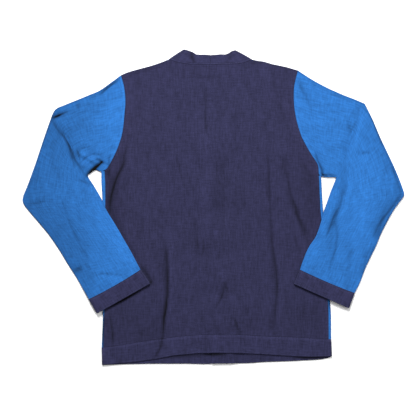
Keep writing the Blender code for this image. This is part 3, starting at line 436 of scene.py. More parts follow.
# The main creases of the back, which its solid has too
MAIN_CREASES = table(
    Crease,
    (1.5, 8, 8, 0, (-97, -75), (-96, -180), (-101, -235), (-108, -275), (-121, -325)),
    (-1.1, 9, 9, 0, (-110, -80), (-110, -180), (-115, -235), (-128, -305)),
    (1.0, 8, 8, 0, (126, 126), (130, 5), (139, -82), (141, -170), (137, -268)),
    (-0.7, 9, 9, 0, (150, -90), (153, -180), (149, -262)),
    (-1.0, 12, 12, 0, (176, 110), (188, 30), (206, -34), (222, -66)),
    (0.9, 12, 12, 0, (158, 90), (168, 20), (183, -50)),
    (-0.9, 12, 12, 0, (-183, 145), (-203, 104), (-223, 60), (-232, 0)),
    (0.8, 13, 13, 0, (-172, 110), (-192, 60), (-205, 0)),
    (-0.7, 9, 9, 0, (-15, 262), (-13, 170)),
    (0.8, 10, 10, 0, (-40, -50), (-30, -105)),
    (0.8, 9, 9, 0, (42, -245), (54, -270)),
)
# Its finer creases, and those of the sleeves
BACK_CREASES = table(
    Crease,
    (-1.3, 13, 3.2, -0.76, (-103, -78), (-99, -142), (-98.5, -172), (-99, -189), (-101.5, -207),
     (-103, -224), (-106.5, -242), (-107.5, -260), (-109, -277), (-110, -289)),
    (-0.4, 6, 3.2, -0.4, (-101.5, -205), (-103, -224), (-106.5, -242), (-107.5, -260), (-110, -280)),
    (-0.6, 5, 5, -0.25, (180, 15), (182, 6), (191, -12)),
    (-0.5, 5, 5, -0.14, (-17, -86), (-18, -104)),
    (-0.5, 8, 7, -0.14, (76, -215), (77, -244)),
    (-0.3, 4, 4, -0.18, (-232, -268), (-231, -280)),
    (1.5, 5, 9, 0.16, (-95, -72), (-93, -142), (-93, -199), (-96, -240), (-102, -275)),
    (1.4, 10, 8, 0.0, (-121, -182), (-125, -230), (-134, -274)),
    (-1.1, 9, 3.2, -0.55, (127, -10), (130, -67), (136, -116), (141, -155), (141, -199), (138, -230),
     (134, -265)),
    (0.9, 4, 10, 0.11, (139, -105), (147, -160), (150, -204), (143, -248)),
    (-0.8, 6, 3.5, -0.46, (121, 127), (123, 78), (125, 28), (127, -10)),
    (-0.7, 4, 3, -0.43, (-18, 263), (-16, 212), (-15, 175), (-9, 151)),
    (0.5, 4, 4, 0.25, (-11, 170), (-15, 133), (-13, 105)),
    (-0.8, 8, 20, -0.13, (14, 127), (8, 72), (3, -6), (3, -63)),
    (-0.5, 8, 8, -0.12, (21, 81), (22, 15), (21, -50)),
    (-1.3, 7, 5, -0.75, (-188, 134), (-195.5, 113), (-196, 99), (-202.5, 84), (-210.5, 68), (-216, 53),
     (-220.5, 37), (-224.5, 22), (-226, 7), (-226, -12)),
    (-0.8, 5, 5, -0.5, (-225, 97), (-228, 84), (-230, 66)),
    (-0.6, 6, 5, -0.2, (-180, 72), (-188, 54), (-198, 35)),
    (1.0, 8, 7, 0.03, (-180, 131), (-189, 91), (-202, 52), (-211, 3)),
    (-1.3, 5, 7, -0.4, (153, 110), (160, 80), (167, 48), (172, 26), (184, -7), (193, -40), (207, -70)),
    (-0.9, 9, 14, -0.05, (176, 109), (189, 61), (202, 6), (215, -40)),
    (-0.7, 7, 8, -0.16, (194, 105), (206, 82), (220, 57)),
    (-0.6, 5, 5, -0.24, (113, 62), (117, 42), (122, 18)),
    (-0.9, 7, 7, -0.3, (162, 32), (174, 6), (185, -16), (198, -41), (215, -67)),
    (-0.6, 7, 7, -0.16, (190, 103), (199, 76), (211, 45)),
    (-0.5, 10, 9, -0.12, (147, 312), (149, 262), (152, 180)),
    (-0.4, 10, 9, -0.12, (65, 282), (76, 262), (90, 238)),
    (-0.4, 7, 6, -0.12, (154, 108), (154, 60)),
    (-0.4, 5, 5, -0.14, (59, 18), (58, -25)),
    (-0.4, 6, 5, -0.12, (34, -68), (25, -90), (17, -112)),
    (-0.4, 7, 6, -0.12, (-46, -36), (-44, -73)),
    (-0.4, 7, 6, -0.13, (-4, -225), (3, -266)),
    (-0.4, 8, 7, -0.12, (206, -203), (198, -222), (192, -246)),
    (-0.4, 7, 6, -0.12, (168, -180), (156, -205)),
    (-0.4, 9, 8, -0.2, (119, -236), (128, -256), (122, -280)),
    (-0.4, 5, 5, -0.15, (-203, -296), (-160, -293), (-118, -287)),
    (-0.5, 5, 5, -0.24, (-232, -262), (-229, -285), (-224, -303)),
    (-0.3, 3, 3, -0.24, (-57, 318), (-48, 311), (-36, 309), (-14, 309)),
    (-0.3, 3.5, 3.5, -0.2, (-192, 287), (-165, 297), (-138, 304.5), (-114, 311), (-98, 318)),
    (-0.4, 5, 5, -0.14, (4, 70), (20, 45)),
    (-0.4, 5, 5, -0.12, (44, 127), (50, 84)),
    (-0.5, 6, 5, -0.14, (60, -247), (78, -262), (96, -273)),
    (-0.4, 5, 5, -0.2, (122, -292), (121, -308)),
    (-0.4, 4, 4, -0.17, (-54, -5), (-54, -22)),
    (-0.4, 4, 4, -0.26, (-221, -280), (-221, -299)),
    (-0.4, 4, 4, -0.14, (-160, -281), (-136, -281)),
    (-1.0, 7, 6, -0.05, (154, 109), (165, 94), (178, 76)),
    (0.8, 6, 6, 0.08, (182, 103), (191, 86), (199, 64)),
    (-0.8, 7, 4, -0.33, (-40, -31), (-38, -50), (-35, -72), (-31, -107)),
    (-0.6, 4, 3, -0.39, (-21, -72), (-22, -94), (-26, -111)),
    (-1.1, 5, 5, -0.56, (26, -168), (20, -194), (6, -220)),
    (0.9, 4, 4, 0.26, (18, -160), (11, -185), (0, -211)),
    (-0.6, 4, 4, -0.43, (24, -163), (35, -187)),
    (-1.0, 4, 3, -0.6, (44, -241), (50, -252), (57, -272)),
    (-0.6, 5, 4, -0.2, (-51, 288), (-18, 286), (18, 289)),
    (-0.6, 5, 5, -0.19, (-64, 305), (-64, 272)),
    (-0.5, 4, 4, -0.17, (15, 298), (15, 280)),
    (-0.6, 8, 6, -0.18, (131, 302), (138, 248)),
    (-0.5, 5, 4, -0.02, (81, 252), (92, 228)),
    (-0.6, 4, 4, -0.38, (-76, 102), (-70, 67)),
    (-0.5, 4, 4, -0.15, (-106, 120), (-106, 89)),
    (-0.5, 4, 4, -0.29, (-143, 122), (-142, 98)),
    (-0.7, 6, 5, -0.13, (65, 38), (70, 3), (72, -45)),
    (-0.6, 5, 4, -0.4, (-156, -21), (-155, -56)),
    (-0.9, 5, 4, -0.52, (-227, -234), (-222, -270), (-218, -305)),
    (-0.7, 4, 4, -0.12, (-238, -230), (-235, -296)),
    (-0.6, 7, 5, -0.03, (-198, -285), (-165, -278), (-130, -263)),
    (-0.5, 7, 6, -0.02, (77, -212), (95, -252)),
    (-0.6, 6, 6, -0.32, (178, -63), (194, -102)),
    (-0.5, 12, 9, -0.03, (-59, -63), (-66, -120), (-64, -182)),
    (-0.4, 12, 9, -0.02, (59, -72), (51, -120), (55, -168)),
    (-0.9, 6, 4, -0.66, (-111, -286), (-114, -304), (-121, -319), (-132, -335)),
    (-0.5, 5, 4, -0.21, (57, -272), (64, -302)),
    (-0.5, 5, 4, -0.19, (-222, -305), (-215, -336)),
)
SLEEVE_CREASES = {
    LEFT: table(
        Crease,
        (-0.9, 4, 3, -0.6, (-206, 283), (-233, 262), (-247, 249)),
        (-0.9, 3.5, 3.5, -0.38, (-292, 97), (-277, 112), (-257, 118), (-242, 110)),
        (-1.0, 3.5, 3.5, -0.35, (-262, 108), (-246, 101), (-226, 93)),
        (1.2, 4, 4, 0.1, (-285, 91), (-269, 104), (-254, 107), (-244, 101)),
        (-0.7, 4, 4, -0.18, (-306, 110), (-290, 128), (-272, 133)),
        (-1.3, 5, 5.5, -0.55, (-354, 196), (-345, 200), (-333, 206), (-319, 212)),
        (-0.8, 5, 5, -0.45, (-353, 199), (-345, 201), (-334, 205)),
        (-0.9, 8, 8, -0.2, (-351, 199), (-342, 180), (-331, 165), (-314, 151)),
        (-0.6, 5, 5, -0.3, (-304, -142), (-295, -139), (-286, -132)),
        (-0.9, 5, 5, -0.3, (-319, 142), (-313, 118), (-306, 93)),
        (-0.9, 5, 5, -0.42, (-301, 128), (-296, 118), (-294, 106)),
        (-0.6, 6, 6, -0.3, (-300, 62), (-284, 56), (-268, 50)),
        (-0.6, 6, 6, -0.22, (-410, 7), (-390, 9), (-368, 14)),
        (-0.5, 5, 5, -0.3, (-297, 231), (-295, 218)),
        (-0.8, 4.5, 4.5, -0.42, (-227, 116), (-229, 102), (-230, 84)),
        (-0.6, 6, 6, -0.2, (-207, 286), (-228, 269), (-248, 252), (-266, 244)),
        (-1.3, 8, 5, -0.5, (-353, 190), (-340, 169), (-324, 150), (-312, 128), (-303, 104), (-284, 78)),
        (-0.8, 6, 5, -0.04, (-334, 201), (-321, 177), (-310, 153), (-299, 127)),
        (1.2, 6, 5, 0.1, (-346, 186), (-334, 158), (-322, 130)),
        (2.6, 8, 6, 0.07, (-301, 124), (-282, 113), (-264, 105), (-251, 98)),
        (1.6, 6, 6, 0.02, (-301, 105), (-284, 94), (-271, 87)),
        (-1.0, 4, 4, -0.05, (-295, 113), (-275, 102), (-260, 91)),
        (-1.4, 4, 5, -0.8, (-244, 101), (-255, 89), (-266, 79), (-279, 68)),
        (-0.8, 4, 4, -0.5, (-243, 98), (-249, 105), (-257, 108)),
        (-0.8, 6, 6, -0.24, (-334, 20), (-325, -5), (-317, -30), (-303, -60), (-279, -108)),
        (-0.6, 4, 4, -0.45, (-306, -138), (-298, -136), (-292, -130)),
        (-0.8, 4, 3, -0.43, (-270, -153), (-252, -146), (-235, -145), (-198, -149)),
        (-0.7, 14, 12, -0.06, (-381, 6), (-372, -50), (-345, -120)),
        (0.6, 14, 12, 0.02, (-337, 28), (-310, -38), (-275, -105)),
    ),
    RIGHT: table(
        Crease,
        (-1.1, 7, 6, -0.05, (332, 226), (315, 208), (305, 188), (304, 157), (295, 127), (288, 98),
         (277, 65)),
        (1.0, 6, 8, 0.14, (345, 210), (323, 184), (317, 148), (308, 116)),
        (0.9, 7, 7, 0.02, (290, 204), (286, 162), (275, 122)),
        (-0.8, 3, 3, -0.3, (319, 117), (332, 119), (345, 121)),
        (-1.1, 5.5, 5.5, -0.6, (273, -3), (264, -23), (257, -43), (248, -66)),
        (-0.8, 5, 5, -0.2, (388, -20), (360, -70), (342, -118)),
        (-0.9, 7, 6, -0.42, (413, 28), (391, -4), (366, -36), (355, -64)),
        (-0.5, 4.5, 4.5, -0.4, (379, 125), (397, 82), (414, 36)),
        (-0.5, 4, 4, -0.36, (341, 222), (351, 195), (363, 161), (376, 126)),
        (-0.9, 5, 5, -0.42, (268, -32), (273, -58), (269, -92), (262, -114), (255, -138)),
        (-0.5, 7, 7, -0.26, (308, -80), (304, -98), (300, -118)),
        (-0.5, 6, 6, -0.2, (341, -92), (334, -128), (330, -152)),
        (-0.4, 6, 6, -0.2, (297, -168), (294, -184)),
        (-0.6, 11, 9, -0.2, (320, 214), (314, 186), (306, 158)),
        (-0.6, 6, 5, -0.22, (294, 194), (301, 175), (308, 157)),
        (-0.5, 3.5, 3.5, -0.3, (326, 121.5), (344, 121)),
        (-0.6, 8, 7, -0.24, (190, 284), (199, 258), (211, 232), (219, 203)),
        (-0.5, 6, 6, -0.12, (292, 106), (294, 40)),
        (-0.5, 6, 6, -0.12, (384, 93), (378, 70)),
        (-1.1, 5, 5, -0.65, (226, 120), (230, 104), (236, 92), (241, 80), (242, 68)),
        (-0.4, 8, 7, -0.2, (404, 54), (410, 40), (413, 22), (402, 8), (391, -6)),
        (-0.6, 3.5, 3.5, -0.5, (237, 80), (242, 72), (252, 70.5)),
        (-0.7, 3, 3, -0.2, (191, 288), (245, 258), (300, 233)),
        (-1.1, 6, 9, -0.15, (286, 89), (286, 38), (273, -12), (264, -45)),
        (-1.3, 7, 8, -0.24, (295, 50), (279, 6), (264, -38), (257, -89)),
        (1.2, 7, 9, 0.06, (301, 61), (293, 6), (275, -54)),
        (-1.1, 12, 10, -0.16, (381, 6), (372, -23), (363, -72)),
        (-0.6, 4, 3, -0.07, (381, 96), (392, 80)),
        (-0.7, 4, 3, -0.34, (189, 275), (194, 262), (198, 249)),
        (-0.6, 4, 4, -0.03, (191, 250), (200, 232), (211, 212)),
        (0.8, 16, 14, 0.05, (323, 61), (337, 6), (328, -54)),
        (-0.7, 8, 8, -0.04, (288, -72), (295, -107), (288, -138)),
        (-0.5, 8, 6, -0.02, (240, -82), (242, -120)),
    ),
}
# Creases of the hidden fronts and of the sleeves' undersides, which lift the cloth off the surface
FRONT_CREASES = table(
    Crease,
    (0.9, 9, 7, -0.14, (-180, 120), (-196, 60), (-202, 0), (-198, -60)),
    (0.7, 8, 5, -0.1, (-95, 150), (-102, 60), (-98, -40), (-104, -120)),
    (0.9, 7, 9, -0.14, (-150, -30), (-156, -110), (-150, -200), (-158, -262)),
    (0.6, 6, 5, -0.1, (-60, -90), (-66, -160), (-58, -240)),
    (0.6, 8, 6, -0.1, (-130, 270), (-122, 210), (-108, 160)),
    (0.9, 8, 9, -0.14, (186, 110), (196, 60), (200, 0), (214, -70)),
    (0.7, 6, 8, -0.1, (100, 120), (108, 40), (112, -50), (106, -130)),
    (0.9, 9, 6, -0.14, (160, -60), (168, -130), (160, -210), (166, -270)),
    (0.6, 5, 6, -0.1, (64, -40), (70, -110), (66, -190)),
    (0.6, 6, 8, -0.1, (118, 280), (108, 220), (92, 170)),
)
SLEEVE_UNDER_CREASES = {
    LEFT: table(
        Crease,
        (0.9, 8, 6, -0.14, (-340, 200), (-322, 160), (-300, 110), (-284, 84)),
        (0.8, 7, 7, -0.12, (-370, 130), (-346, 100), (-310, 84)),
        (0.6, 8, 8, -0.08, (-255, 230), (-262, 180), (-256, 130)),
        (0.7, 10, 9, -0.1, (-390, 20), (-372, -40), (-340, -100)),
    ),
    RIGHT: table(
        Crease,
        (0.9, 6, 8, -0.14, (330, 216), (312, 170), (292, 110), (278, 72)),
        (0.8, 7, 7, -0.12, (372, 120), (340, 96), (300, 82)),
        (0.6, 8, 8, -0.08, (240, 236), (250, 180), (246, 120)),
        (0.7, 9, 10, -0.1, (388, 10), (372, -46), (350, -98)),
    ),
}
# Creases of the band that stands round the back of the neck
NECK_CREASES = table(
    Crease,
    (-0.8, 5, 4.5, -0.7, (-47, 341), (-46, 331), (-41, 320)),
    (-0.3, 2.5, 2.5, -0.4, (-6, 333), (-5, 318)),
    (-0.5, 4, 4, -0.23, (40, 340), (38, 330), (34, 320)),
    (-0.5, 6, 6, -0.12, (62, 334), (76, 326), (96, 318)),
    (-0.4, 5, 5, -0.1, (-72, 336), (-84, 326)),
    (-0.4, 4, 3, -0.03, (18, 334), (20, 318)),
)

# Painted light and shade: wide, soft lighter and darker areas where light falls unevenly, and painted
# shadows in the corners under the cuffs and hem
Shade = namedtuple("Shade", "width tone points")
BACK_SHADES = table(
    Shade,
    (30, -0.28, (-226, 90), (-230, 20), (-224, -60)),
    (45, -0.12, (-200, -190), (-190, -240), (-185, -290)),
    (24, -0.12, (-150, -262), (-128, -290)),
    (30, -0.18, (206, 110), (222, 60), (230, 0), (226, -60)),
    (45, -0.12, (192, -180), (200, -230), (205, -290)),
    (70, -0.05, (-60, 60), (0, 20), (60, -20)),
    (13, 0.14, (-10, 125), (-14, 60), (-18, 0), (-16, -60)),
    (16, -0.08, (24, 260), (20, 200)),
    (16, 0.06, (-97, -150), (-92, -230)),
    (18, 0.04, (150, -160), (152, -230)),
    (3.4, -1.0, (-240, -224.5), (-190, -199), (-150, -173), (-136, -164)),
    (3.0, 0.28, (8, -50), (9, -54)),
    (3.0, 0.22, (18, -143), (18, -148)),
    (4.5, -0.6, (-160, -128), (-150, -141), (-140, -156), (-134, -170)),
    (4.0, -0.28, (-222, -16), (-187, -78), (-168, -108), (-157, -132)),
    (3.0, -0.12, (250, -201), (212, -185), (177, -168)),
    (8.0, -0.25, (70, 314), (84, 318), (101, 315)),
)
SLEEVE_SHADES = {
    LEFT: table(
        Shade,
        (62, -0.34, (-345, 222), (-370, 160), (-400, 80), (-416, 20)),
        (60, -0.3, (-416, 20), (-380, -40), (-335, -110), (-280, -200)),
        (34, -0.1, (-290, 225), (-250, 245)),
        (34, 0.19, (-225, 0), (-208, -60), (-175, -135)),
        (4.2, -0.8, (-279, 73), (-266, 84), (-255, 93.5), (-245, 99)),
        (22, 0.09, (-208, 238), (-222, 190), (-214, 132)),
        (18, 0.12, (-376, 148), (-372, 80)),
        (16, -0.08, (-352, 130), (-342, 60)),
        (24, 0.13, (-268, -126), (-218, -158)),
        (30, -0.11, (-325, 220), (-300, 195), (-285, 165)),
        (58, -0.1, (-250, 220), (-285, 110), (-310, 10), (-290, -110)),
    ),
    RIGHT: table(
        Shade,
        (16, -0.16, (396, 30), (380, -20), (350, -90), (325, -140)),
        (22, -0.06, (330, 200), (360, 140), (390, 70)),
        (30, 0.06, (340, 0), (320, -60), (300, -110)),
        (2.4, -0.5, (240, 72), (255, 72), (270, 71)),
        (7, 0.18, (238, -30), (247, -64)),
        (7, 0.2, (363, -62), (347, -84)),
        (16, 0.12, (237, -82), (204, -114)),
        (34, 0.09, (325, 130), (325, 20), (305, -70)),
    ),
}
# Painted shadow on the side folds' strips, where the cuffs lie over them and beside the hem
WRAP_SHADES = {
    LEFT: table(
        Shade,
        (12, -0.85, (-243, -222), (-243, -262), (-244, -312)),
    ),
    RIGHT: table(
        Shade,
        (9, -0.75, (257, -198), (258, -208), (259, -222)),
    ),
}
# Painted shadow on the inside of the front hem, under the back's edge
HEM_INSIDE_SHADES = table(
    Shade,
    (8.0, -0.12, (-180, -334), (0, -330), (190, -334)),
    (3.0, -0.5, (-104, -331.5), (-85, -329), (-33, -325), (-16, -324)),
    (3.4, -0.9, (-18, -324), (5, -323), (30, -323)),
    (2.6, -0.2, (28, -323), (59, -324), (114, -327), (175, -330)),
    (2.8, -0.9, (178, -330), (216, -331.5), (258, -330)),
)
# Painted highlights where the buttons press through the back
BUTTON_BUMP_HIGHLIGHTS = ((5, -53), (6, -54), (15, -145), (11, -239), (-6, 144))


# Curves, distances and tones

def smooth(t):
    t = np.clip(t, 0.0, 1.0)
    return t * t * (3.0 - 2.0 * t)


def bell(distance, width):
    """1 at no distance, and softly down to 0 beyond the width."""
    return np.exp(-((distance / width) ** 2))


def points_of(*axes):
    """Points from their coordinates, which may be arrays or single numbers."""
    return np.stack(np.broadcast_arrays(*axes), axis=-1)


def at_height(plan, z):
    return points_of(plan[..., 0], plan[..., 1], z)


def at(curve, x):
    """The y of a curve that is given as points along x."""
    return np.interp(x, *np.transpose(curve))


def edge_at(side, y):
    """The x of the side fold and of the side seam at a height y."""
    ys, folds, seams = np.transpose(SIDE_EDGES[side])
    return np.interp(y, ys, folds), np.interp(y, ys, seams)


def centre_front(y):
    xs, ys = np.transpose(CENTRE_FRONT)
    return np.interp(y, ys, xs)


def run_length(points):
    """Length along a line at each of its points."""
    return np.concatenate([[0.0], np.cumsum(np.linalg.norm(np.diff(points, axis=0), axis=1))])


def shares(points):
    run = run_length(points)
    return run / run[-1]


def along(run, lengths, values):
    """Values of a line, which is run long at each of its points, at some lengths along it."""
    return np.stack([np.interp(lengths, run, column) for column in values.T], axis=1)


def spline(points, per_step):
    """A smooth curve through points of any dimension, with a fixed number of steps between them."""
    p = np.array(points, float)
    padded = np.vstack([2 * p[0] - p[1], p, 2 * p[-1] - p[-2]])
    t = (np.arange(per_step) / per_step)[:, None]
    fine = []
    for a, b, c, d in zip(padded, padded[1:], padded[2:], padded[3:]):
        curve = 2 * b + (c - a) * t
        curve = curve + (2 * a - 5 * b + 4 * c - d) * t**2
        curve = curve + (3 * b - a - 3 * c + d) * t**3
        fine.append(curve / 2)
    return np.vstack(fine + [p[-1:]])


def resample(line, fractions):
    """Points at fractions of a line's length."""
    return along(shares(line), fractions, line)


def rounded(points, fractions):
    """Points at fractions of the length of a smooth curve through the given points."""
    return resample(spline(points, CURVE_STEPS), fractions)


def between(first, last, share):
    """A grid of points between two lines, at shares of the way from the first to the last."""
    return first[:, None] + (last - first)[:, None] * share[:, None]


def unit(v):
    v = np.asarray(v, float)
    return v / np.linalg.norm(v, axis=-1, keepdims=True)


def outward(line, inside):
    """For each point of a line, the direction square to it that points away from the points inside."""
    step = np.gradient(line, axis=0)
    square = unit(points_of(step[:, 1], -step[:, 0]))
    away = ((line - np.asarray(inside, float)) * square).sum(axis=1)
    return square * np.where(away < 0, -1.0, 1.0)[:, None]


def from_line(x, y, line):
    """Distance of plan points from a line, with the share of its length that they are beside.

    The distance is above 0 on the left of the line's direction, which is +X of a line that runs down.
    """
    run = run_length(line)
    nearest = np.full(x.shape, np.inf)
    share = np.zeros(x.shape)
    for k in range(len(line) - 1):
        step = line[k + 1] - line[k]
        dx, dy = x - line[k][0], y - line[k][1]
        t = np.clip((dx * step[0] + dy * step[1]) / max(step @ step, 1e-9), 0, 1)
        dx, dy = dx - t * step[0], dy - t * step[1]
        gap = np.hypot(dx, dy)
        turned = np.where(step[0] * dy - step[1] * dx < 0, -gap, gap)
        closer = gap < np.abs(nearest)
        nearest = np.where(closer, turned, nearest)
        share = np.where(closer, (run[k] + t * (run[k + 1] - run[k])) / run[-1], share)
    return nearest, share


def distance_from(plan, line):
    """Distance of points from a line in plan."""
    return np.abs(from_line(plan[..., 0], plan[..., 1], line)[0])


def taper(share):
    """How a crease fades towards its two ends."""
    inner = CREASE_END_SHARE + (1 - 2 * CREASE_END_SHARE) * share
    return np.sin(math.pi * np.clip(inner, 0, 1)) ** CREASE_FADE_POWER


def relief(creases, x, y):
    """The height, and the tone of painted shade and highlight, that creases give to the cloth at plan
    points.
    """
    height, tone = np.zeros(x.shape), np.zeros(x.shape)
    for crease in creases:
        line = spline(crease.points, CREASE_STEPS)
        reach = 3 * max(crease.soft, crease.sharp)
        low, high = line.min(axis=0) - reach, line.max(axis=0) + reach
        near = (x > low[0]) & (x < high[0]) & (y > low[1]) & (y < high[1])
        gap, share = from_line(x[near], y[near], line)
        width = np.where(gap < 0, crease.soft, crease.sharp)
        fade = taper(share)
        broad, core = bell(gap, width), bell(gap, CORE_SHARE * width)
        height[near] += crease.height * fade * broad
        tone[near] += crease.tone * fade * (BROAD_TONE * broad + (1 - BROAD_TONE) * core)
    return height, tone


def shading(shades, x, y):
    """The painted light and shade that wide shades give to the cloth at plan points."""
    tone = np.zeros(x.shape)
    for shade in shades:
        gap, share = from_line(x, y, spline(shade.points, CREASE_STEPS))
        tone += shade.tone * taper(share) * bell(gap, shade.width)
    return tone


def seam_tone(distance, dark, light):
    """A seam has painted shade in its groove, and a painted highlight with a little wear beside it."""
    return dark * bell(distance, GROOVE_WIDTH) + light * bell(distance - WEAR_AND_HIGHLIGHT_AT, WEAR_AND_HIGHLIGHT_WIDTH)


# Heights of the layers

def button_lift(y):
    """How far the bands are raised off the surface along the front edge."""
    away = np.abs(np.asarray(y)[..., None] - BUTTON_YS).min(axis=-1) - BUTTON_PLATEAU
    middle = (BUTTON_YS[1] - BUTTON_YS[0]) / 2 - BUTTON_PLATEAU
    low = np.where(y > BUTTON_YS[0], BETWEEN_LIFT, BETWEEN_LIFT / 2)
    along_buttons = BUTTON_LIFT - (BUTTON_LIFT - low) * smooth(away / middle)
    above = BUTTON_LIFT * (1 - smooth((y - V_POINT_Y - BUTTON_PLATEAU) / V_FADE))
    return np.where(y > V_POINT_Y + BUTTON_PLATEAU, above, along_buttons)


def overlap_lift(side, x, y):
    """How much higher the inner band and its front lie, where they cross the outer band."""
    if side == LEFT:
        return 0.0
    across = 1 - smooth((np.abs(x - centre_front(y)) - OVERLAP_NEAR) / OVERLAP_FADE)
    return OVERLAP_LIFT * across * (1 - smooth((y - OVERLAP_TOP) / OVERLAP_TOP_FADE))


def main_creases(x, y):
    return relief(MAIN_CREASES, x, y)[0]


def back_height(x, y):
    """The middle of the back's cloth above the surface, as its solid has it."""
    x, y = np.broadcast_arrays(x, y)
    offset = x - centre_front(y)
    away = np.abs(offset)
    near, reach = (np.where(offset > 0, *pair) for pair in zip(BACK_STEP[RIGHT], BACK_STEP[LEFT]))
    over_bands = button_lift(y) * (1 - smooth((away - BACK_PLATEAU) / BACK_FADE))
    up_neck = 1 - smooth((y - BACK_STEP_TOP) / BACK_STEP_TOP_FADE)
    over_overlap = BAND * (1 - smooth((away - near) / reach)) * up_neck
    puff = np.zeros(x.shape)
    for side in SIDES:
        inside = np.maximum(SIGN[side] * (edge_at(side, y)[0] - x), 0)
        puff += SIDE_PUFF * bell(inside, SIDE_PUFF_REACH) * (y < ARMHOLES[LEFT][0][1])
    sag = NECK_SAG * bell(x - NECK_BACK_X, NECK_SAG_SIZE[0]) * bell(y - NECK_SAG_Y, NECK_SAG_SIZE[1])
    return OVER + over_bands + over_overlap + puff - sag + main_creases(x, y)


def back_surface(x, y):
    """The middle of the back's cloth with all its creases, and their tone of painted shade and highlight.
    """
    fine, tone = relief(BACK_CREASES, x, y)
    # Wide painted light and shade, and painted shadows beside the cuffs
    tone = tone + shading(BACK_SHADES, x, y)
    # Painted highlights where the buttons press through the back
    for bump_x, bump_y in BUTTON_BUMP_HIGHLIGHTS:
        tone = tone + BUMP_HIGHLIGHT_TONE * bell(np.hypot(x - bump_x, y - bump_y), BUMP_HIGHLIGHT_WIDTH)
    main = main_creases(x, y)
    return back_height(x, y) - main + np.maximum(main + fine, DEEPEST), tone


def side_height(side, y):
    return back_height(edge_at(side, y)[1], y)


def front_height(side, x, y, inner_gap):
    """The middle of a front's cloth, inner_gap from its inner edge."""
    return UNDER + button_lift(y) * (1 - smooth(inner_gap / FRONT_FADE)) + overlap_lift(side, x, y)


def band_height(side, x, y):
    """The middle of a front band above the surface."""
    return BAND / 2 + button_lift(y) + overlap_lift(side, x, y)


def sleeve_lift(side, x, y):
    """How far the underside of a sleeve lies above the surface."""
    sign, fold_x = SIGN[side], edge_at(side, y)[0]
    ramp = 1 - smooth((sign * (x - fold_x) - LIFT_PLATEAU) / (LIFT_REACH - LIFT_PLATEAU))
    low, high = SLEEVE_CLIMB[side]
    climb = smooth((low - y) / (low - high))
    on_back = sign * np.minimum(sign * x, sign * fold_x)
    return ramp * climb * (back_height(on_back, y) + CLOTH / 2 + REST_GAP)


# Walls of cloth

Patch = namedtuple("Patch", "points out half tone weave closed rims")


def patch(points, out, half, tone, weave=None, closed=False, rims=("low", "high", "first", "last")):
    """A grid of cloth. weave holds its places on the flat cloth, with one more column if it is closed.

    rims are the edges with a rim between the cloth's two sides. A pair also gives where on the edge it
    begins. A closed grid has rims at its ends alone.
    """
    out = unit(np.broadcast_to(out, points.shape))
    half = np.broadcast_to(half, points.shape[:2])
    weave = points[..., :2] if weave is None else weave
    return Patch(points, out, half, tone, weave, closed, rims[:2] if closed else rims)


def patch_faces(part, start):
    """Faces of a patch's two sides and its rims, and the place on the cloth of each of their corners."""
    rows, columns = part.points.shape[:2]
    count = rows * columns
    wide = np.arange(columns if part.closed else columns - 1)
    i, j = (v.ravel() for v in np.meshgrid(np.arange(rows - 1), wide, indexing="ij"))
    square = ((i, j), (i + 1, j), (i + 1, j + 1), (i, j + 1))
    corners = start + np.stack([a * columns + b % columns for a, b in square], axis=1)
    places = np.stack([part.weave[a, b] for a, b in square], axis=1)
    faces, maps = [corners, corners[:, ::-1] + count], [places, places[:, ::-1]]
    beside, top, down = (wide + 1) % columns, count - columns, np.arange(rows - 1) * columns
    edges = {
        "low": (wide, beside),
        "high": (top + beside, top + wide),
        "first": (down + columns, down),
        "last": (down + columns - 1, down + 2 * columns - 1),
    }
    flat = part.weave[:, :columns].reshape(-1, 2)
    for rim in part.rims:
        name, begin = rim if isinstance(rim, tuple) else (rim, 0)
        a, b = (ends[begin:] for ends in edges[name])
        faces.append(start + np.stack([a, b, b + count, a + count], axis=1))
        maps.append(np.stack([flat[a], flat[b], flat[b], flat[a]], axis=1))
    return np.vstack(faces), np.vstack(maps)


def make_piece(name, points, faces, material, weave=None, tone=None):
    """A piece of the garment. Cloth has its place in the weave at each corner, and a tone at each point,
    of painted shade and highlight with some wear.

    The patches of cloth are joined where they share points.
    """
    mesh = bpy.data.meshes.new(name)
    mesh.from_pydata((np.asarray(points) * MILLIMETRE).tolist(), [], faces)
    mesh.materials.append(material)
    if weave is not None:
        layer = mesh.uv_layers.new(name="weave")
        layer.data.foreach_set("uv", (weave * MILLIMETRE).astype(np.float32).ravel())
        # The tone is painted shade and highlight, with some wear beside the seams
        values = mesh.attributes.new("tone", "FLOAT", "POINT")
        values.data.foreach_set("value", tone.astype(np.float32))
    work = bmesh.new()
    work.from_mesh(mesh)
    if weave is not None:
        bmesh.ops.remove_doubles(work, verts=work.verts, dist=WELD)
    bmesh.ops.recalc_face_normals(work, faces=work.faces)
    work.to_mesh(mesh)
    work.free()
    mesh.shade_smooth()
    mesh.set_sharp_from_angle(angle=math.radians(HARD_CRISP if weave is None else CLOTH_CRISP))
    piece = bpy.data.objects.new(name, mesh)
    bpy.context.scene.collection.objects.link(piece)
    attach(piece, "root")
    return piece


def cloth_piece(node, parts, material, slot):
    """The cloth that stands for a node, from patches that share their edges."""
    points, tones, faces, maps = [], [], [], []
    start = 0
    for part in parts:
        lift = part.half[..., None] * part.out
        both = np.stack([part.points + lift, part.points - lift])
        points.append(both.reshape(-1, 3))
        tones += [part.tone.ravel()] * 2
        for found, new in zip((faces, maps), patch_faces(part, start)):
            found.append(new)
        start += both.size // 3
    piece = make_piece(
        f"{node}_cloth", np.vstack(points), np.vstack(faces).tolist(), material,
        np.vstack(maps), np.concatenate(tones),
    )
    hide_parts(node)
    return piece


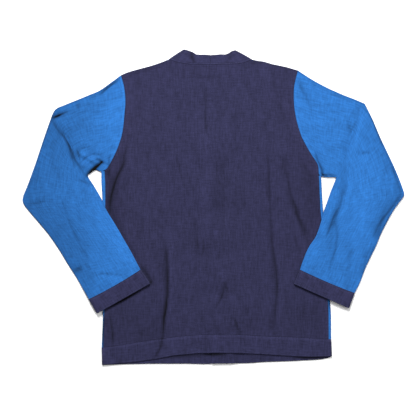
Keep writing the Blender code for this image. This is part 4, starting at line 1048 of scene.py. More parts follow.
def spread(length, pitch=PITCH, start=True, end=True, steps=EDGE_STEPS):
    """Distances along a piece: even steps, with a few finer ones beside an edge."""
    head = list(steps) if start else [0.0]
    tail = [length - s for s in reversed(steps)] if end else [length]
    count = max(int(round((tail[0] - head[-1]) / pitch)), 2)
    middle = np.linspace(head[-1], tail[0], count + 1)[1:-1]
    return np.concatenate([head, middle, tail])


def round_edge(distance, half, reach):
    """Half the cloth's thickness at a distance from an edge that is turned in or cut."""
    t = np.clip(1 - distance / reach, 0, 1)
    return half * np.sqrt(np.clip(1 - (1 - RIM_SHARE) * t * t, RIM_SHARE, 1))


def band_half(lengths, reach):
    """Half the thickness of a band across its width: rounded edges, and a groove under its stitches."""
    gap = np.minimum(lengths, lengths[-1] - lengths)
    groove = STITCH_GROOVE * bell(gap - BAND_STEPS[STITCH_ROW], STITCH_GROOVE_WIDTH)
    return round_edge(gap, BAND / 2, reach) - groove


def fold_point(edge, out, middle_z, radius, degrees):
    """Points on the half round of a fold, and the directions out of it: 0 degrees on the upper layer."""
    sine, cosine = math.sin(math.radians(degrees)), math.cos(math.radians(degrees))
    plan = edge - out * np.reshape(radius * (1 - sine), (-1, 1))
    return at_height(plan, middle_z + radius * cosine), at_height(out * sine, cosine)


def coons(bottom, top, left, right, u, v):
    """Plan points of a patch inside four edges, with the shares of its columns and rows."""
    a, b = u[None, :, None], v[:, None, None]
    across = (1 - a) * left[:, None] + a * right[:, None]
    up = (1 - b) * bottom[None] + b * top[None]
    corners = (1 - a) * (1 - b) * bottom[0] + a * (1 - b) * bottom[-1]
    corners = corners + (1 - a) * b * top[0] + a * b * top[-1]
    return across + up - corners


def joined(grids, axis):
    """Grids of points, ways out and tones, put one after another along an axis."""
    ways = [np.broadcast_to(way, points.shape) for points, way, _ in grids]
    tones = [np.broadcast_to(tone, points.shape[:2]) for points, _, tone in grids]
    return [np.concatenate(parts, axis=axis) for parts in ([grid[0] for grid in grids], ways, tones)]


def columns_of(strips):
    """The points and the ways out of a grid whose columns are strips of points and ways."""
    points = np.stack([strip[0] for strip in strips], axis=1)
    return points, np.stack([np.broadcast_to(strip[1], strip[0].shape) for strip in strips], axis=1)


def armhole_points(side, inset, fractions):
    """Armhole seam points from the underarm to the shoulder, moved towards the body by inset."""
    curve = rounded(ARMHOLES[side], fractions)
    return curve - inset * outward(curve, (SIGN[side] * ARMHOLE_INSIDE[0], ARMHOLE_INSIDE[1]))


def below_fold(top):
    """A panel's upper edge under the shoulder fold: ways out, heights of the back there, inner edge."""
    out = outward(top, MIDDLE)
    heights = back_height(*(top - FOLD_INSET * out).T)
    return out, heights, top - out * ((heights - UNDER) / 2)[:, None]


# Panels

def top_edge(x):
    """The back's upper edge at positions of its columns: left shoulder, neck seam, right shoulder."""
    first, last = NECK_COLUMNS
    left, neck, right = x[x <= first], x[(x > first) & (x < last)], x[x >= last]
    return np.vstack([
        rounded(SHOULDERS[LEFT], (left - x[0]) / (first - x[0])),
        rounded(NECK_SEAM, (neck - first) / (last - first)),
        rounded(SHOULDERS[RIGHT][::-1], (right - last) / (x[-1] - last)),
    ])


def build_back():
    x = HEM_ENDS[0] + spread(HEM_ENDS[1] - HEM_ENDS[0])
    bottom = points_of(x, at(BACK_HEM_SEAM, x) + HALF_SEAM)
    sides = {}
    for side in SIDES:
        low_y = at(BACK_HEM_SEAM, edge_at(side, HEM_SIDE_Y)[1]) + HALF_SEAM
        head = low_y + np.array(EDGE_STEPS)
        ys = np.concatenate([head, np.linspace(head[-1], ARMHOLES[side][0][1], BACK_ROWS[0])[1:]])
        seam = points_of(edge_at(side, ys)[1] - SIGN[side] * HALF_SEAM, ys)
        armhole = armhole_points(side, HALF_SEAM, np.linspace(0, 1, BACK_ROWS[1]))
        sides[side] = np.vstack([seam, armhole[1:]])
    left, right = sides[LEFT], sides[RIGHT]
    bottom[0], bottom[-1] = left[0], right[0]
    top = top_edge(x)
    out, _, inner_top = below_fold(top)
    left[-1], right[-1] = inner_top[0], inner_top[-1]
    u = (x - x[0]) / (x[-1] - x[0])
    plan = coons(bottom, inner_top, left, right, u, (shares(left) + shares(right)) / 2)
    z, tone = back_surface(plan[..., 0], plan[..., 1])
    grids = [(at_height(plan, z), UP, tone)]
    beyond = np.maximum(NECK_COLUMNS[0] - x, x - NECK_COLUMNS[1])
    folded = smooth(beyond / NECK_TURN)
    for degrees in np.linspace(0, 90, FOLD_TURNS)[1:]:
        over, normal = fold_point(top, out, (z[-1] + UNDER) / 2, (z[-1] - UNDER) / 2, degrees)
        over[:, 2] = folded * over[:, 2] + (1 - folded) * z[-1]
        normal = folded[:, None] * normal + (1 - folded)[:, None] * UP
        grids.append((over[None], normal[None], tone[-1:]))
    points, normals, tone = joined(grids, 0)
    # Painted shade along the shoulder fold, where the cloth turns down
    tone = tone + folded * FOLD_EDGE_SHADE * bell(distance_from(points, top[COARSE]), EDGE_REACH)
    edge = np.vstack([right[::-1], bottom[::-1], left])
    gap = distance_from(points, edge[COARSE])
    # Painted shade in the seams' grooves, and painted highlight and wear beside them
    tone = tone + seam_tone(gap, *BACK_SEAM)
    return [patch(points, normals, round_edge(gap, CLOTH / 2, CUT_REACH), tone)]


def front_edge(side):
    """The front's inner edge at each of its rows, from the hem seam to the shoulder."""
    sign = SIGN[side]
    beside = sign * BAND_WIDTH / 2
    low_y = at(FRONT_HEM_SEAM, centre_front(HEM_SEAM_Y) + beside)
    ys = low_y + spread(FRONT_TOP_Y - low_y, end=False)
    low = points_of(centre_front(ys) + beside, ys)
    low = resample(low, np.linspace(0, 1, FRONT_ROWS[0]))
    start = np.array((centre_front(V_POINT_Y) + beside, V_POINT_Y - V_START_DROP))
    end = np.array(SHOULDERS[side][-1], float)
    bend = np.array((end[0] - sign * V_BEND_IN, V_BEND_Y))
    t = np.linspace(0, 1, V_STEPS)[:, None]
    high = np.vstack([low[-1:], (1 - t) ** 2 * start + 2 * t * (1 - t) * bend + t * t * end])
    return np.vstack([low, resample(high, np.linspace(0, 1, FRONT_ROWS[1]))[1:]])


def build_front(side):
    sign = SIGN[side]
    low_rows, high_rows = FRONT_ROWS
    inner = front_edge(side)
    underarm_y = SLEEVES[side][0][-1]
    hem_y = at(FRONT_HEM_SEAM, edge_at(side, HEM_SIDE_Y)[0]) + HALF_SEAM
    share = (inner[:low_rows, 1] - inner[0, 1]) / (inner[low_rows - 1, 1] - inner[0, 1])
    ys = hem_y + share * (underarm_y - hem_y)
    radius = (side_height(side, ys) - UNDER) / 2
    fold_x, seam_x = edge_at(side, ys)
    armhole = armhole_points(side, HALF_SEAM, np.linspace(0, 1, high_rows))
    outer = np.vstack([points_of(fold_x - sign * radius, ys), armhole[1:]])
    u = spread(FRONT_SPAN, PITCH * FRONT_SPAN / FRONT_WIDTH) / FRONT_SPAN
    top = rounded(SHOULDERS[side], u)
    out, heights, inner_top = below_fold(top)
    inner[-1], outer[-1] = inner_top[-1], inner_top[0]
    xs = outer[0, 0] + u * (inner[0, 0] - outer[0, 0])
    bottom = points_of(xs, at(FRONT_HEM_SEAM, xs) + HALF_SEAM)
    bottom[0], bottom[-1] = outer[0], inner[0]
    plan = coons(bottom, inner_top, outer, inner, u, (shares(outer) + shares(inner)) / 2)
    x, y = plan[..., 0], plan[..., 1]
    # The front's creases get painted shade as well as their height
    rise, tone = relief(FRONT_CREASES, x, y)
    edge = np.vstack([outer, inner_top, inner[::-1], bottom[::-1]])
    grown = smooth((distance_from(plan, edge[COARSE]) - FRONT_CREASE_FROM) / FRONT_CREASE_REACH)
    z = front_height(side, x, y, np.abs(x - plan[:, -1:, 0])) + rise * grown
    grids = [(at_height(plan, z), DOWN, tone)]
    for degrees in np.linspace(180, 90, FOLD_TURNS)[1:]:
        over, normal = fold_point(top, out, (heights + UNDER) / 2, (heights - UNDER) / 2, degrees)
        grids.append((over[None], normal[None], tone[-1:]))
    points, normals, tone = joined(grids, 0)
    rims = ("low", "high", "last", ("first", low_rows - 1))
    panel = patch(points, normals, CLOTH / 2, tone, rims=rims)
    half_way = seam_x + (fold_x - sign * radius - seam_x) / 2
    strips = [(points_of(x, ys, UNDER + 2 * radius), UP) for x in (seam_x, half_way)]
    for degrees in np.linspace(0, 180, 2 * FOLD_TURNS):
        direction = np.broadcast_to((sign, 0.0), (low_rows, 2))
        strips.append(fold_point(points_of(fold_x, ys), direction, UNDER + radius, radius, degrees))
    points, normals = columns_of(strips)
    # Painted shadow on the strip, and the side seam's painted shade, painted highlight and wear
    tone = shading(WRAP_SHADES[side], points[..., 0], points[..., 1])
    tone[:, :2] += SIDE_SEAM_TONES
    return [panel, patch(points, normals, CLOTH / 2, tone, rims=("low", "high", "first"))]


# Sleeves and cuffs

def tube(
    side, folds, ways, depth, thickness, shift, fold_edge_shade=0.0, dip=0.0, creases=(), under=(), shades=(),
):
    """A flattened tube: round its outer fold, over the upper layer, the inner fold and back underneath.

    folds are the plan lines of the outer and the inner fold, and ways the directions out of them. shift
    gives how far the points between them move, for shares of the width. The last value that is returned
    says which columns are the upper layer.
    """
    outer, inner = folds
    radius = depth / 2

    def low_at(x, y):
        return sleeve_lift(side, x, y) + thickness / 2

    middles = [low_at(*(edge - BAND_INSET * out).T) + radius for edge, out in zip(folds, ways)]
    start, end = outer - ways[0] * radius, inner - ways[1] * radius
    width = np.linalg.norm(end - start, axis=1)
    count = int(round(width.max() / PITCH))
    g = np.arange(1, count) / count
    plan = between(start, end, g) + shift(g)
    x, y = plan[..., 0], plan[..., 1]
    low = low_at(x, y)
    inside = smooth(np.minimum(g, 1 - g) / CREASE_GROW)
    grown = CREASE_AT_FOLD + (1 - CREASE_AT_FOLD) * inside
    rise = np.maximum(relief(creases, x, y)[0], DEEPEST) * grown
    press = dip * np.sqrt(np.sin(math.pi * np.minimum(g * BEND_SKEW, 1)))
    upper = at_height(plan, low + depth - press + rise)
    lower = at_height(plan, low + relief(under, x, y)[0] * inside)
    turn = math.pi * radius
    strips = []

    def fold(number, degrees, place):
        spot = fold_point(folds[number], ways[number], middles[number], radius, degrees)
        strips.append((*spot, place))

    for degrees in np.linspace(90, 0, FOLD_TURNS):
        fold(0, degrees, -width / 2 - turn * degrees / 180)
    for k, share in enumerate(g):
        strips.append((upper[:, k], UP, (share - 0.5) * width))
    for degrees in np.linspace(0, 180, 2 * FOLD_TURNS):
        fold(1, degrees, width / 2 + turn * degrees / 180)
    for k, share in reversed(list(enumerate(g))):
        strips.append((lower[:, k], DOWN, width * (1.5 - share) + turn))
    for degrees in np.linspace(180, 90, FOLD_TURNS)[:-1]:
        fold(0, degrees, width * 1.5 + turn + turn * (180 - degrees) / 180)
    points, out = columns_of(strips)
    places = [strip[2] for strip in strips] + [width * 1.5 + turn * 1.5]
    weave = points_of(np.stack(places, axis=1), run_length((outer + inner) / 2)[:, None])
    x, y = points[..., 0], points[..., 1]
    # Painted shade and highlight of the creases, on the upper layer and the underside, and wide painted
    # light and shade
    creased = np.where(out[..., 2] > UNDER_FROM, relief(creases, x, y)[1], relief(under, x, y)[1])
    tone = shading(shades, x, y) + creased
    # Painted shade along the folded edges, weaker on the inner fold and past the elbow
    for line, strength in ((outer, fold_edge_shade), (inner, fold_edge_shade * INNER_EDGE_SHARE)):
        gap, share = from_line(x, y, line[HALVED])
        past = PAST_ELBOW * smooth((share - ELBOW_SHARE) / ELBOW_FADE)
        tone = tone + strength * (1 - past) * bell(gap, EDGE_REACH)
    return points, out, tone, weave, slice(FOLD_TURNS, FOLD_TURNS + len(g))


def cuff_bow(side, g):
    """How far the points between the two folds are moved towards the hand at the cuff seam."""
    way = np.subtract(CUFF_ENDS[side], SLEEVES[side][-1])
    return (4 * CUFF_BOW[side] * g * (1 - g))[:, None] * unit(way[:2] + way[2:])


def build_sleeve(side):
    sign = SIGN[side]
    rows = np.array(SLEEVES[side], float)
    line = rows[:, :2]
    outer, inner = spline(line, RING_STEPS), spline(rows[:, 2:], RING_STEPS)
    if side == RIGHT:
        corner = BEND_RING[side]
        before, after = (spline(part, RING_STEPS) for part in (line[: corner + 1], line[corner:]))
        outer = np.vstack([before[:-1], after])
    index = np.arange(len(outer)) / RING_STEPS
    shoulder = np.abs(np.subtract(SHOULDERS[side][1], SHOULDERS[side][0]))
    first_ways = (shoulder[1] * sign, shoulder[0]), (sign, 0.0)
    settle = smooth(index)[:, None]
    ways = [
        unit(outward(edge, other) * settle + unit(first) * (1 - settle))
        for edge, other, first in zip((outer, inner), (inner, outer), first_ways)
    ]
    ends = [edge[:1] - way[:1] * SLEEVE_DEPTH / 2 for edge, way in zip((outer, inner), ways)]

    def shift(g):
        """The first rings follow the armhole's curve, and the last ones the cuff seam's bow."""
        to_armhole = armhole_points(side, -HALF_SEAM, 1 - g) - between(*ends, g)
        share = np.interp(index, range(len(ARMHOLE_SHARE)), ARMHOLE_SHARE)
        near_cuff = np.clip(index - index[-1] + 1, 0, 1)
        return to_armhole * share[:, None, None] + cuff_bow(side, g) * near_cuff[:, None, None]

    dip = BEND_DEPTH * np.interp(np.abs(index - BEND_RING[side]), range(len(BEND_SHARES)), BEND_SHARES)
    points, out, tone, weave, upper = tube(
        side, (outer, inner), ways, SLEEVE_DEPTH, CLOTH, shift, FOLD_EDGE_SHADE, dip[:, None],
        SLEEVE_CREASES[side], SLEEVE_UNDER_CREASES[side], SLEEVE_SHADES[side],
    )
    meet = (1 - smooth(index / ARMHOLE_MEET))[:, None]
    on_back = back_surface(points[:, upper, 0], points[:, upper, 1])[0]
    points[:, upper, 2] = points[:, upper, 2] * (1 - meet) + on_back * meet
    gap = distance_from(points, armhole_points(side, 0.0, np.linspace(0, 1, ARMHOLE_STEPS)))
    on_top = out[..., 2] > 0.5
    # Painted shade in the armhole seam's groove, and painted highlight and wear beside it
    tone = tone + seam_tone(gap, *SLEEVE_SEAM) * on_top
    points[..., 2] += ARMHOLE_RIDGE * bell(gap - ARMHOLE_RIDGE_AT, ARMHOLE_RIDGE_WIDTH) * on_top
    return [patch(points, out, CLOTH / 2, tone, weave, closed=True)]


def build_cuff(side):
    top, end = (np.reshape(row, (2, 2)).astype(float) for row in (SLEEVES[side][-1], CUFF_ENDS[side]))
    length = np.linalg.norm((end - top).sum(axis=0) / 2)
    lengths = spread(length, CUFF_PITCH, steps=BAND_STEPS)
    f = (lengths / length)[:, None]
    outer, inner = (a + (b - a) * f for a, b in zip(top, end))
    points, out, tone, weave, _ = tube(
        side, (outer, inner), (outward(outer, inner), outward(inner, outer)), CUFF_DEPTH, BAND,
        lambda g: (1 - f)[..., None] * cuff_bow(side, g),
    )
    # Painted shade in the cuff seam's groove, and painted highlight and wear beside it
    tone = tone + seam_tone(lengths, *CUFF_SEAM[side])[:, None]
    return [patch(points, out, band_half(lengths, CUFF_REACH)[:, None], tone, weave, closed=True)]


# Bands

def build_hem_band():
    """The hem band, all round the lower edge from one front band to the other."""
    step = (BAND - CLOTH) / 2
    lengths = spread(HEM_WIDTH, BAND_PITCH, steps=BAND_STEPS)
    f = (lengths / HEM_WIDTH)[:, None]

    def rows_at(x, seam, edge):
        """Heights of the band's rows at each x, from its seam to its free edge."""
        seam_y = at(seam, x)
        return seam_y - HALF_SEAM + (at(edge, x) - seam_y) * f

    def half_front(side):
        """The band's columns from a front band to the side, and round the side fold."""
        sign = SIGN[side]
        beside = sign * (BAND_WIDTH / 2 + HALF_SEAM)
        edge_x, inner_x = edge_at(side, HEM_Y)[0], centre_front(HEM_Y) + beside
        radius = (side_height(side, HEM_Y) + step / 2 - BAND / 2) / 2
        outer_x = edge_x - sign * radius
        run = spread(abs(edge_x - inner_x), HEM_PITCH, end=False)
        share = 1 - run / run[-1]
        y = rows_at(outer_x + (inner_x - outer_x) * share, FRONT_HEM_SEAM, FRONT_HEM_EDGE)
        inner, outer = centre_front(y) + beside, edge_at(side, y)[0] - sign * radius
        x = outer + (inner - outer) * share
        z = front_height(side, x, y, np.abs(x - inner)) + step
        # Painted shadow on the inside of the front hem, under the back's edge
        grids = [(points_of(x, y, z), DOWN, shading(HEM_INSIDE_SHADES, x, y))]
        for degrees in np.linspace(180, 0, 2 * FOLD_TURNS)[1:]:
            edge = BACK_HEM_EDGE if degrees < HEM_TURN else FRONT_HEM_EDGE
            y = rows_at(edge_x, FRONT_HEM_SEAM, edge)[:, 0]
            top_z = side_height(side, y) + step / 2
            radius = (top_z - BAND / 2) / 2
            fold = points_of(edge_at(side, y)[0], y)
            way = np.broadcast_to((sign, 0.0), fold.shape)
            spot, out = fold_point(fold, way, top_z - radius, radius, degrees)
            grids.append((spot[:, None], out[:, None], 0.0))
        return joined(grids, 1)

    xs = HEM_ENDS[0] + spread(HEM_ENDS[1] - HEM_ENDS[0], start=False, end=False)
    x, y = np.broadcast_arrays(xs, rows_at(xs, BACK_HEM_SEAM, BACK_HEM_EDGE))
    z, tone = back_surface(x, y)
    back = points_of(x, y, z + step / 2), UP, tone
    right = [part[:, ::-1] for part in half_front(RIGHT)]
    points, out, tone = joined([half_front(LEFT), back, right], 1)
    # Painted shade in the hem seam's groove, and painted highlight and wear beside it
    tone = tone + seam_tone(lengths, *HEM_SEAM)[:, None]
    weave = points_of(run_length(points[len(f) // 2]), lengths[:, None])
    return [patch(points, out, band_half(lengths, BAND_REACH)[:, None], tone, weave)]


def rounding(line, corner, width):
    """How far each point of a line moves when its corner is rounded off over a width."""
    run = run_length(line)
    weights = bell(run[:, None] - run, width) * np.gradient(run)
    near = bell(run - run[corner], 2 * width)
    return (weights @ line / weights.sum(axis=1, keepdims=True) - line) * near[:, None]


def build_neck_band(side):
    """Half the band: up the front edge and the V neck, over the shoulder, to the back of the neck."""
    sign = SIGN[side]
    lengths = spread(BAND_WIDTH, BAND_PITCH, steps=BAND_STEPS)
    across = lengths / BAND_WIDTH
    inner = front_edge(side)
    low_y = at(FRONT_HEM_EDGE, HEM_BAND_X)
    tail = low_y + spread(inner[0, 1] - low_y, end=False)[:-1]
    seam = np.vstack([points_of(centre_front(tail) + sign * BAND_WIDTH / 2, tail), inner[:-1]])
    seam = seam - (sign * HALF_SEAM, 0.0)
    free = seam + BAND_WIDTH * outward(seam, (sign * BESIDE_BAND[0], BESIDE_BAND[1]))
    neck, peak = np.array(SHOULDERS[side][-1], float), np.array(NECK_PEAKS[side], float)
    lead = smooth((free[:, 1] - V_LEAD_Y) / V_LEAD)
    free = points_of(free[:, 0] + lead * (peak[0] - free[:, 0]), free[:, 1] + lead * V_LEAD_RISE)
    front = between(seam, free, across)
    x, y = front[..., 0], front[..., 1]
    # Painted shadow on the band's lower end, under the back's hem edge
    grids = [(at_height(front, band_height(side, x, y)), DOWN, shading(HEM_INSIDE_SHADES, x, y))]
    fold = unit(peak - neck)
    out = np.array((fold[1], -fold[0])) * (1.0 if fold[1] * sign > 0 else -1.0)
    raised = (BAND - CLOTH) / 4
    top_z = back_height(*(neck - BAND_INSET * out)) + raised
    radius = (top_z - BAND / 2) / 2
    under_ways = unit(seam[-1] - neck), unit(free[-1] - peak)
    over_ways = [unit((-sign * a, -b)) for a, b in TURN_WAYS]
    for degrees in np.linspace(180, 0, 2 * FOLD_TURNS + 1):
        sine, cosine = math.sin(math.radians(degrees)), math.cos(math.radians(degrees))
        share = smooth((degrees - TURN_FROM) / TURN_SPAN)
        ends = []
        for corner, under, over in zip((neck, peak), under_ways, over_ways):
            way = share * under + (1 - share) * over
            ends.append((corner + way * radius * (1 - sine) / max(abs(way @ out), TURN_LEAST))[None])
        turned = at_height(between(*ends, across), top_z - radius + radius * cosine)
        grids.append((turned, at_height(out * sine, cosine), 0.0))
    end_x = NECK_BACK_X + sign * HALF_SEAM
    xs = np.linspace(neck[0] - sign * NECK_START, end_x, NECK_STEPS)
    edge_x = end_x + (peak[0] - NECK_BACK_X) * (xs - NECK_BACK_X) / (neck[0] - NECK_BACK_X)
    seam_back = points_of(xs, at(spline(NECK_SEAM, CURVE_STEPS), xs) + HALF_SEAM)
    back = between(seam_back, points_of(edge_x, at(NECK_EDGE, edge_x)), across)
    x, y = back[..., 0], back[..., 1]
    # The neck band's creases get painted shade as well as their height
    fine, tone = relief(NECK_CREASES, x, y)
    grids.append((at_height(back, back_height(x, y) + raised + fine), UP, tone))
    points, outs, tone = joined(grids, 0)
    corner = len(seam) + FOLD_TURNS
    points[..., :2] += rounding(points[:, -1, :2], corner, PEAK_ROUND)[:, None] * across[:, None] ** 2
    run = run_length(points[:, 0])
    half = np.minimum(band_half(lengths, BAND_REACH), round_edge(run, BAND / 2, BAND_REACH)[:, None])
    # Painted shade in the band seam's groove, and painted highlight and wear beside it
    tone = tone + seam_tone(lengths, *NECK_BAND_SEAM)
    return [patch(points, outs, half, tone, points_of(lengths, run[:, None]))]


# Materials and stage

class Nodes:
    """Short calls for making a material and its nodes."""

    def __init__(self, name):
        self.material = bpy.data.materials.new(name)
        self.material.use_nodes = True
        self.tree = self.material.node_tree
        self.shader = self.tree.nodes["Principled BSDF"]

    def fill(self, node, values):
        """Sets a node's inputs to the values, or links them to the outputs of other nodes."""
        for key, value in values.items():
            if isinstance(value, bpy.types.NodeSocket):
                self.tree.links.new(value, node.inputs[key])
            else:
                node.inputs[key].default_value = value

    def add(self, kind, values, operation=None):
        node = self.tree.nodes.new(f"ShaderNode{kind}")
        if operation:
            node.operation = operation
        self.fill(node, values)
        return node

    def math(self, operation, *values):
        return self.add("Math", dict(enumerate(values)), operation).outputs[0]

    def noise(self, vector, scale, detail, roughness=0.6):
        values = {"Vector": vector, "Scale": scale, "Detail": detail, "Roughness": roughness}
        return self.add("TexNoise", values).outputs["Fac"]

    def scaled(self, vector, x, y):
        return self.add("Mapping", {"Vector": vector, "Scale": (x, y, 1)}).outputs["Vector"]

    def object_place(self):
        return self.add("TexCoord", {}).outputs["Object"]

    def paint(self, colour, shade):
        """Gives the shader a colour that is made lighter or darker by a shade."""
        paint = self.add("VectorMath", {0: colour, "Scale": shade}, "SCALE")
        self.fill(self.shader, {"Base Color": paint.outputs["Vector"]})


def linen(name, colour, contrast):
    """A matte plain weave of uneven, slubby threads."""
    nodes = Nodes(name)
    uv_map = nodes.add("UVMap", {})
    uv_map.uv_map = "weave"
    place = uv_map.outputs["UV"]
    split = nodes.add("SeparateXYZ", {0: place})
    wobble = nodes.math("MULTIPLY", nodes.noise(place, WOBBLE_SCALE, 1), WOBBLE)
    turns = [nodes.math("MULTIPLY", axis, math.pi / THREAD_PITCH) for axis in split.outputs[:2]]
    waves = [nodes.math("SINE", nodes.math("ADD", turn, wobble)) for turn in turns]
    weave = nodes.math("MULTIPLY", *waves)
    weft, warp, patches = (
        nodes.noise(nodes.scaled(place, *scale), 1.0, 3)
        for scale in (WEFT_SCALE, WARP_SCALE, PATCH_SCALE)
    )
    weft, warp = nodes.math("MULTIPLY", weft, WEFT_SHARE), nodes.math("MULTIPLY", warp, WARP_SHARE)
    slubs = nodes.math("ADD", weft, warp)
    slub_shade, patch_shade = SLUB_SHADE * contrast, PATCH_SHADE * contrast
    shade = nodes.math("MULTIPLY_ADD", slubs, slub_shade, 1.0 - SLUB_MEAN * slub_shade)
    shade = nodes.math("ADD", shade, nodes.math("MULTIPLY_ADD", patches, patch_shade, -patch_shade / 2))
    shade = nodes.math("ADD", shade, nodes.math("MULTIPLY", weave, WEAVE_SHADE))
    # The tone attribute paints shade and highlight into the colour: creases, folds, shadows, uneven light
    # and seams, with some wear
    tone = nodes.add("Attribute", {})
    tone.attribute_name = "tone"
    nodes.paint(colour, nodes.math("MULTIPLY", shade, nodes.math("ADD", tone.outputs["Fac"], 1.0)))
    height = nodes.math("MULTIPLY_ADD", slubs, SLUB_HEIGHT, nodes.math("MULTIPLY", weave, WEAVE_HEIGHT))
    bump = nodes.add("Bump", {"Height": height, **WEAVE_BUMP})
    nodes.fill(nodes.shader, {"Normal": bump.outputs["Normal"], **LINEN_FINISH})
    return nodes.material


def thread_material(name, colour):
    """Twisted thread, a little lighter than the cloth."""
    nodes = Nodes(name)
    twist = nodes.noise(nodes.scaled(nodes.object_place(), TWIST_SCALE, TWIST_SCALE), 1.0, 2)
    nodes.paint(colour, nodes.math("MULTIPLY_ADD", twist, *TWIST_SHADE))
    nodes.fill(nodes.shader, THREAD_FINISH)
    return nodes.material


def button_material(name, colour):
    """Dark moulded plastic with a faint swirl and a satin surface."""
    nodes = Nodes(name)
    place = nodes.object_place()
    nodes.paint(colour, nodes.math("MULTIPLY_ADD", nodes.noise(place, *SWIRL), *SWIRL_SHADE))
    grain = nodes.math("MULTIPLY_ADD", nodes.noise(place, GRAIN_SCALE, 2), *GRAIN_ROUGHNESS)
    nodes.fill(nodes.shader, {"Roughness": grain})
    return nodes.material


def stage_scene():
    """The pale floor, the soft lights and the camera."""
    bpy.ops.mesh.primitive_plane_add(size=FLOOR_SIZE, location=(0, 0, FLOOR_Z))
    floor = bpy.context.object
    floor.name = "floor"
    nodes = Nodes("floor")
    nodes.fill(nodes.shader, FLOOR_FINISH)
    floor.data.materials.append(nodes.material)
    scene = bpy.context.scene
    world = bpy.data.worlds.new("studio")
    world.use_nodes = True
    background = world.node_tree.nodes["Background"]
    background.inputs["Color"].default_value = (1, 1, 1, 1)
    background.inputs["Strength"].default_value = ROOM_LIGHT
    scene.world = world
    for name, place, size, power in LAMPS:
        light = bpy.data.lights.new(name, "AREA")
        light.shape = "SQUARE"
        light.size = size
        light.energy = power
        lamp = bpy.data.objects.new(name, light)
        lamp.location = place
        x, y, z = place
        lamp.rotation_euler = (math.acos(z / np.linalg.norm(place)), 0, math.atan2(x, -y))
        scene.collection.objects.link(lamp)
    camera_data = bpy.data.cameras.new("camera")
    camera_data.sensor_width = SENSOR
    camera_data.lens = SENSOR * (CAMERA[2] - UPPER_SIDE) / VIEW_WIDTH
    camera_data.clip_end = CLIP_END
    camera = bpy.data.objects.new("camera", camera_data)
    camera.location = CAMERA
    scene.collection.objects.link(camera)
    scene.camera = camera
    scene.view_settings.view_transform = "Standard"


# Stitching and buttons

def stitch_places(line, out):
    """Places, directions and ways out of the stitches of a line, at an even pitch."""
    run = run_length(line)
    count = max(int(run[-1] / STITCH_PITCH), 1)
    spots = (np.arange(count) + 0.5) * run[-1] / count
    ahead, behind = (along(run, spots + step, line) for step in (STITCH_LOOK, -STITCH_LOOK))
    return along(run, spots, line), unit(ahead - behind), unit(along(run, spots, out))


def edge_stitches(part, lengthwise=False):
    """The two stitched lines of a band, along its edges. They run down the grid of a lengthwise one."""
    surface, out = part.points + part.out * part.half[..., None], part.out
    if lengthwise:
        surface, out = surface.swapaxes(0, 1), out.swapaxes(0, 1)
    lines = []
    for row in (STITCH_ROW, -1 - STITCH_ROW):
        line = surface[row], out[row]
        if part.closed:
            line = [np.concatenate([v, v[:1]]) for v in line]
        lines.append(stitch_places(*line))
    return lines


def angles_round(count):
    return 2 * math.pi * np.arange(count) / count


def thread_faces(rings, sides, starts):
    """Faces round threads and over their ends. The rings of each thread begin at one of the starts."""
    k = np.arange((rings - 1) * sides)
    beside = k - k % sides + (k + 1) % sides
    first = np.arange(sides)
    faces = []
    for shape in (
        np.stack([k, k + sides, beside + sides, beside], axis=1),
        np.stack([first, rings * sides - 1 - first]),
    ):
        faces += (starts[:, None, None] + shape).reshape(-1, shape.shape[1]).tolist()
    return faces


def stitches(name, rows, material, length=STITCH_LENGTH, radius=THREAD_RADIUS):
    """One mesh of short, low stitches of thread, which dip into the cloth at their ends."""
    places, ahead, out = (np.concatenate(v) for v in zip(*rows))
    across = np.cross(out, ahead)
    rings = []
    for share, size in STITCH_RINGS:
        for angle in angles_round(THREAD_SIDES):
            offset = across * math.cos(angle) + out * (math.sin(angle) + size - STITCH_SINK)
            rings.append(places + ahead * share * length + offset * radius * size)
    points = np.stack(rings, axis=1)
    points[..., 2] = np.maximum(points[..., 2], 0.0)
    faces = thread_faces(len(STITCH_RINGS), THREAD_SIDES, len(rings) * np.arange(len(points)))
    return make_piece(name, points.reshape(-1, 3), faces, material)


def circle(x, y, z, radius, count):
    angles = angles_round(count)
    return points_of(x + radius * np.cos(angles), y + radius * np.sin(angles), z)


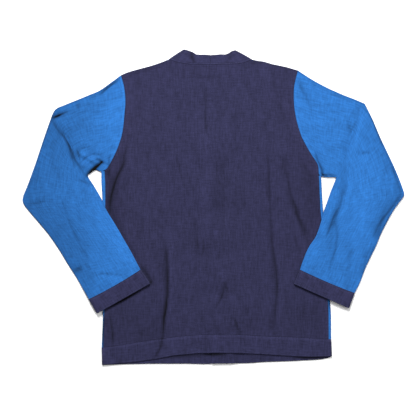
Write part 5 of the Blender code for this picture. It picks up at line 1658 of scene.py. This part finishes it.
def build_button(number, material, thread):
    """A four-hole button with a raised rim, and the thread through its holes. Its face looks down."""
    low, high = (np.array(corner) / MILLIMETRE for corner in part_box(f"button_{number}"))
    x, y = (low[:2] + high[:2]) / 2
    radius = (high[0] - low[0]) / 2
    face_z, back_z = low[2] + DISH_DEPTH, high[2] - BUTTON_INSET
    holes = [(x + a * HOLE_OFFSET, y + b * HOLE_OFFSET) for a in (-1, 1) for b in (-1, 1)]
    work = bmesh.new()

    def loop(points):
        verts = [work.verts.new(p * MILLIMETRE) for p in points]
        return verts, [work.edges.new(pair) for pair in zip(verts, verts[1:] + verts[:1])]

    def wall(a, b):
        for corners in zip(a, a[1:] + a[:1], b[1:] + b[:1], b):
            work.faces.new(corners)

    profile = [(share, low[2] + z) for share, z in BUTTON_FACE]
    profile += [(share, back_z + z) for share, z in BUTTON_BACK]
    rings = [loop(circle(x, y, z, share * radius, BUTTON_SIDES)) for share, z in profile]
    for (a, _), (b, _) in zip(rings, rings[1:]):
        wall(a, b)
    hole_ends = []
    for z, (_, edges) in ((face_z, rings[0]), (back_z, rings[-1])):
        loops = [loop(circle(*hole, z, HOLE_RADIUS, HOLE_SIDES)) for hole in holes]
        edges = edges + [edge for _, ring in loops for edge in ring]
        bmesh.ops.triangle_fill(work, use_beauty=True, edges=edges)
        hole_ends.append([verts for verts, _ in loops])
    for a, b in zip(*hole_ends):
        wall(a, b)
    work.verts.index_update()
    points = [np.array(v.co) / MILLIMETRE for v in work.verts]
    faces = [[v.index for v in f.verts] for f in work.faces]
    work.free()
    button = make_piece(f"button_{number}_detail", points, faces, material)
    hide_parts(f"button_{number}")

    def into_hole(x, y, way):
        """The thread's course from inside a hole to the middle of the button's face."""
        return [(x, y, back_z + THREAD_END)] + [(x, y + way * a, face_z + z) for a, z in THREAD_DIPS]

    angles = angles_round(BUTTON_THREAD_SIDES)[:, None]
    across = np.array((1.0, 0.0, 0.0))
    threads = []
    for first, last in (holes[:2], holes[2:]):
        path = spline(into_hole(*first, 1) + into_hole(*last, -1)[::-1], BUTTON_THREAD_STEPS)
        third = np.cross(unit(np.gradient(path, axis=0)), across)[:, None]
        ring = across * np.cos(angles) + third * np.sin(angles)
        threads.append((path[:, None] + BUTTON_THREAD * ring).reshape(-1, 3))
    faces = thread_faces(len(path), BUTTON_THREAD_SIDES, len(threads[0]) * np.arange(len(threads)))
    make_piece(f"button_{number}_thread", np.vstack(threads), faces, thread)
    return x, y


def buttonhole_rows(x, y):
    """The close bars of thread round a buttonhole, on the underside of the outer band."""
    ys = np.arange(y - BUTTONHOLE_LOW, y + BUTTONHOLE_HIGH, BAR_PITCH)
    bars = [(x + way * BAR_LENGTH * BAR_SIDE, ys, (1.0, 0.0, 0.0)) for way in (-1, 1)]
    bars += [
        (x + BAR_END_STEPS * BAR_LENGTH * BAR_END, end_y, (0.0, 1.0, 0.0))
        for end_y in (ys[0] - BAR_PITCH, ys[-1] + BAR_PITCH)
    ]
    rows = []
    for bar_x, bar_y, way in bars:
        points = points_of(bar_x, bar_y, band_height(LEFT, bar_x, bar_y) - BAND / 2)
        rows.append((points, np.broadcast_to(way, points.shape), np.broadcast_to(DOWN, points.shape)))
    return rows


def main():
    stage_scene()
    navy = linen("navy_linen", NAVY, NAVY_CONTRAST)
    blue = linen("blue_linen", BLUE, BLUE_CONTRAST)
    band = linen("navy_band_linen", NAVY_BAND, BAND_CONTRAST)
    thread = thread_material("navy_thread", THREAD_NAVY)
    button = button_material("navy_button", BUTTON_NAVY)
    looks = {
        "back": (navy, "navy_cloth"), "front": (blue, "blue_cloth"), "sleeve": (blue, "blue_cloth"),
        "cuff": (band, "navy_band"), "hem": (band, "navy_band"), "neck": (band, "navy_band"),
    }
    patches = {"back": build_back(), "hem_band": build_hem_band()}
    for side in SIDES:
        patches[f"front_{side}"] = build_front(side)
        patches[f"sleeve_{side}"] = build_sleeve(side)
        patches[f"cuff_{side}"] = build_cuff(side)
        patches[f"neck_band_{side}"] = build_neck_band(side)
    pieces, sewn = {}, {}
    for node, parts in patches.items():
        pieces[node] = cloth_piece(node, parts, *looks[node.split("_")[0]])

    def sew(node, rows):
        sewn[node] = stitches(f"{node}_stitches", rows, thread)

    sew("hem_band", edge_stitches(patches["hem_band"][0]))
    for side in SIDES:
        cuff, neck_band = f"cuff_{side}", f"neck_band_{side}"
        sew(cuff, edge_stitches(patches[cuff][0]))
        sew(neck_band, edge_stitches(patches[neck_band][0], lengthwise=True))
    rows = []
    fractions = np.linspace(*ARMHOLE_STITCH_ENDS, ARMHOLE_STITCH_STEPS)
    for side in SIDES:
        line = armhole_points(side, ARMHOLE_STITCH, fractions)
        points = at_height(line, back_surface(line[:, 0], line[:, 1])[0] + CLOTH / 2)
        rows.append(stitch_places(points, np.broadcast_to(UP, points.shape)))
    sew("back", rows)
    rows = []
    for number in range(1, len(BUTTON_YS) + 1):
        rows += buttonhole_rows(*build_button(number, button, thread))
    sewn["buttonholes"] = stitches(
        "buttonhole_stitches", rows, thread, length=BAR_LENGTH, radius=BAR_RADIUS
    )


main()
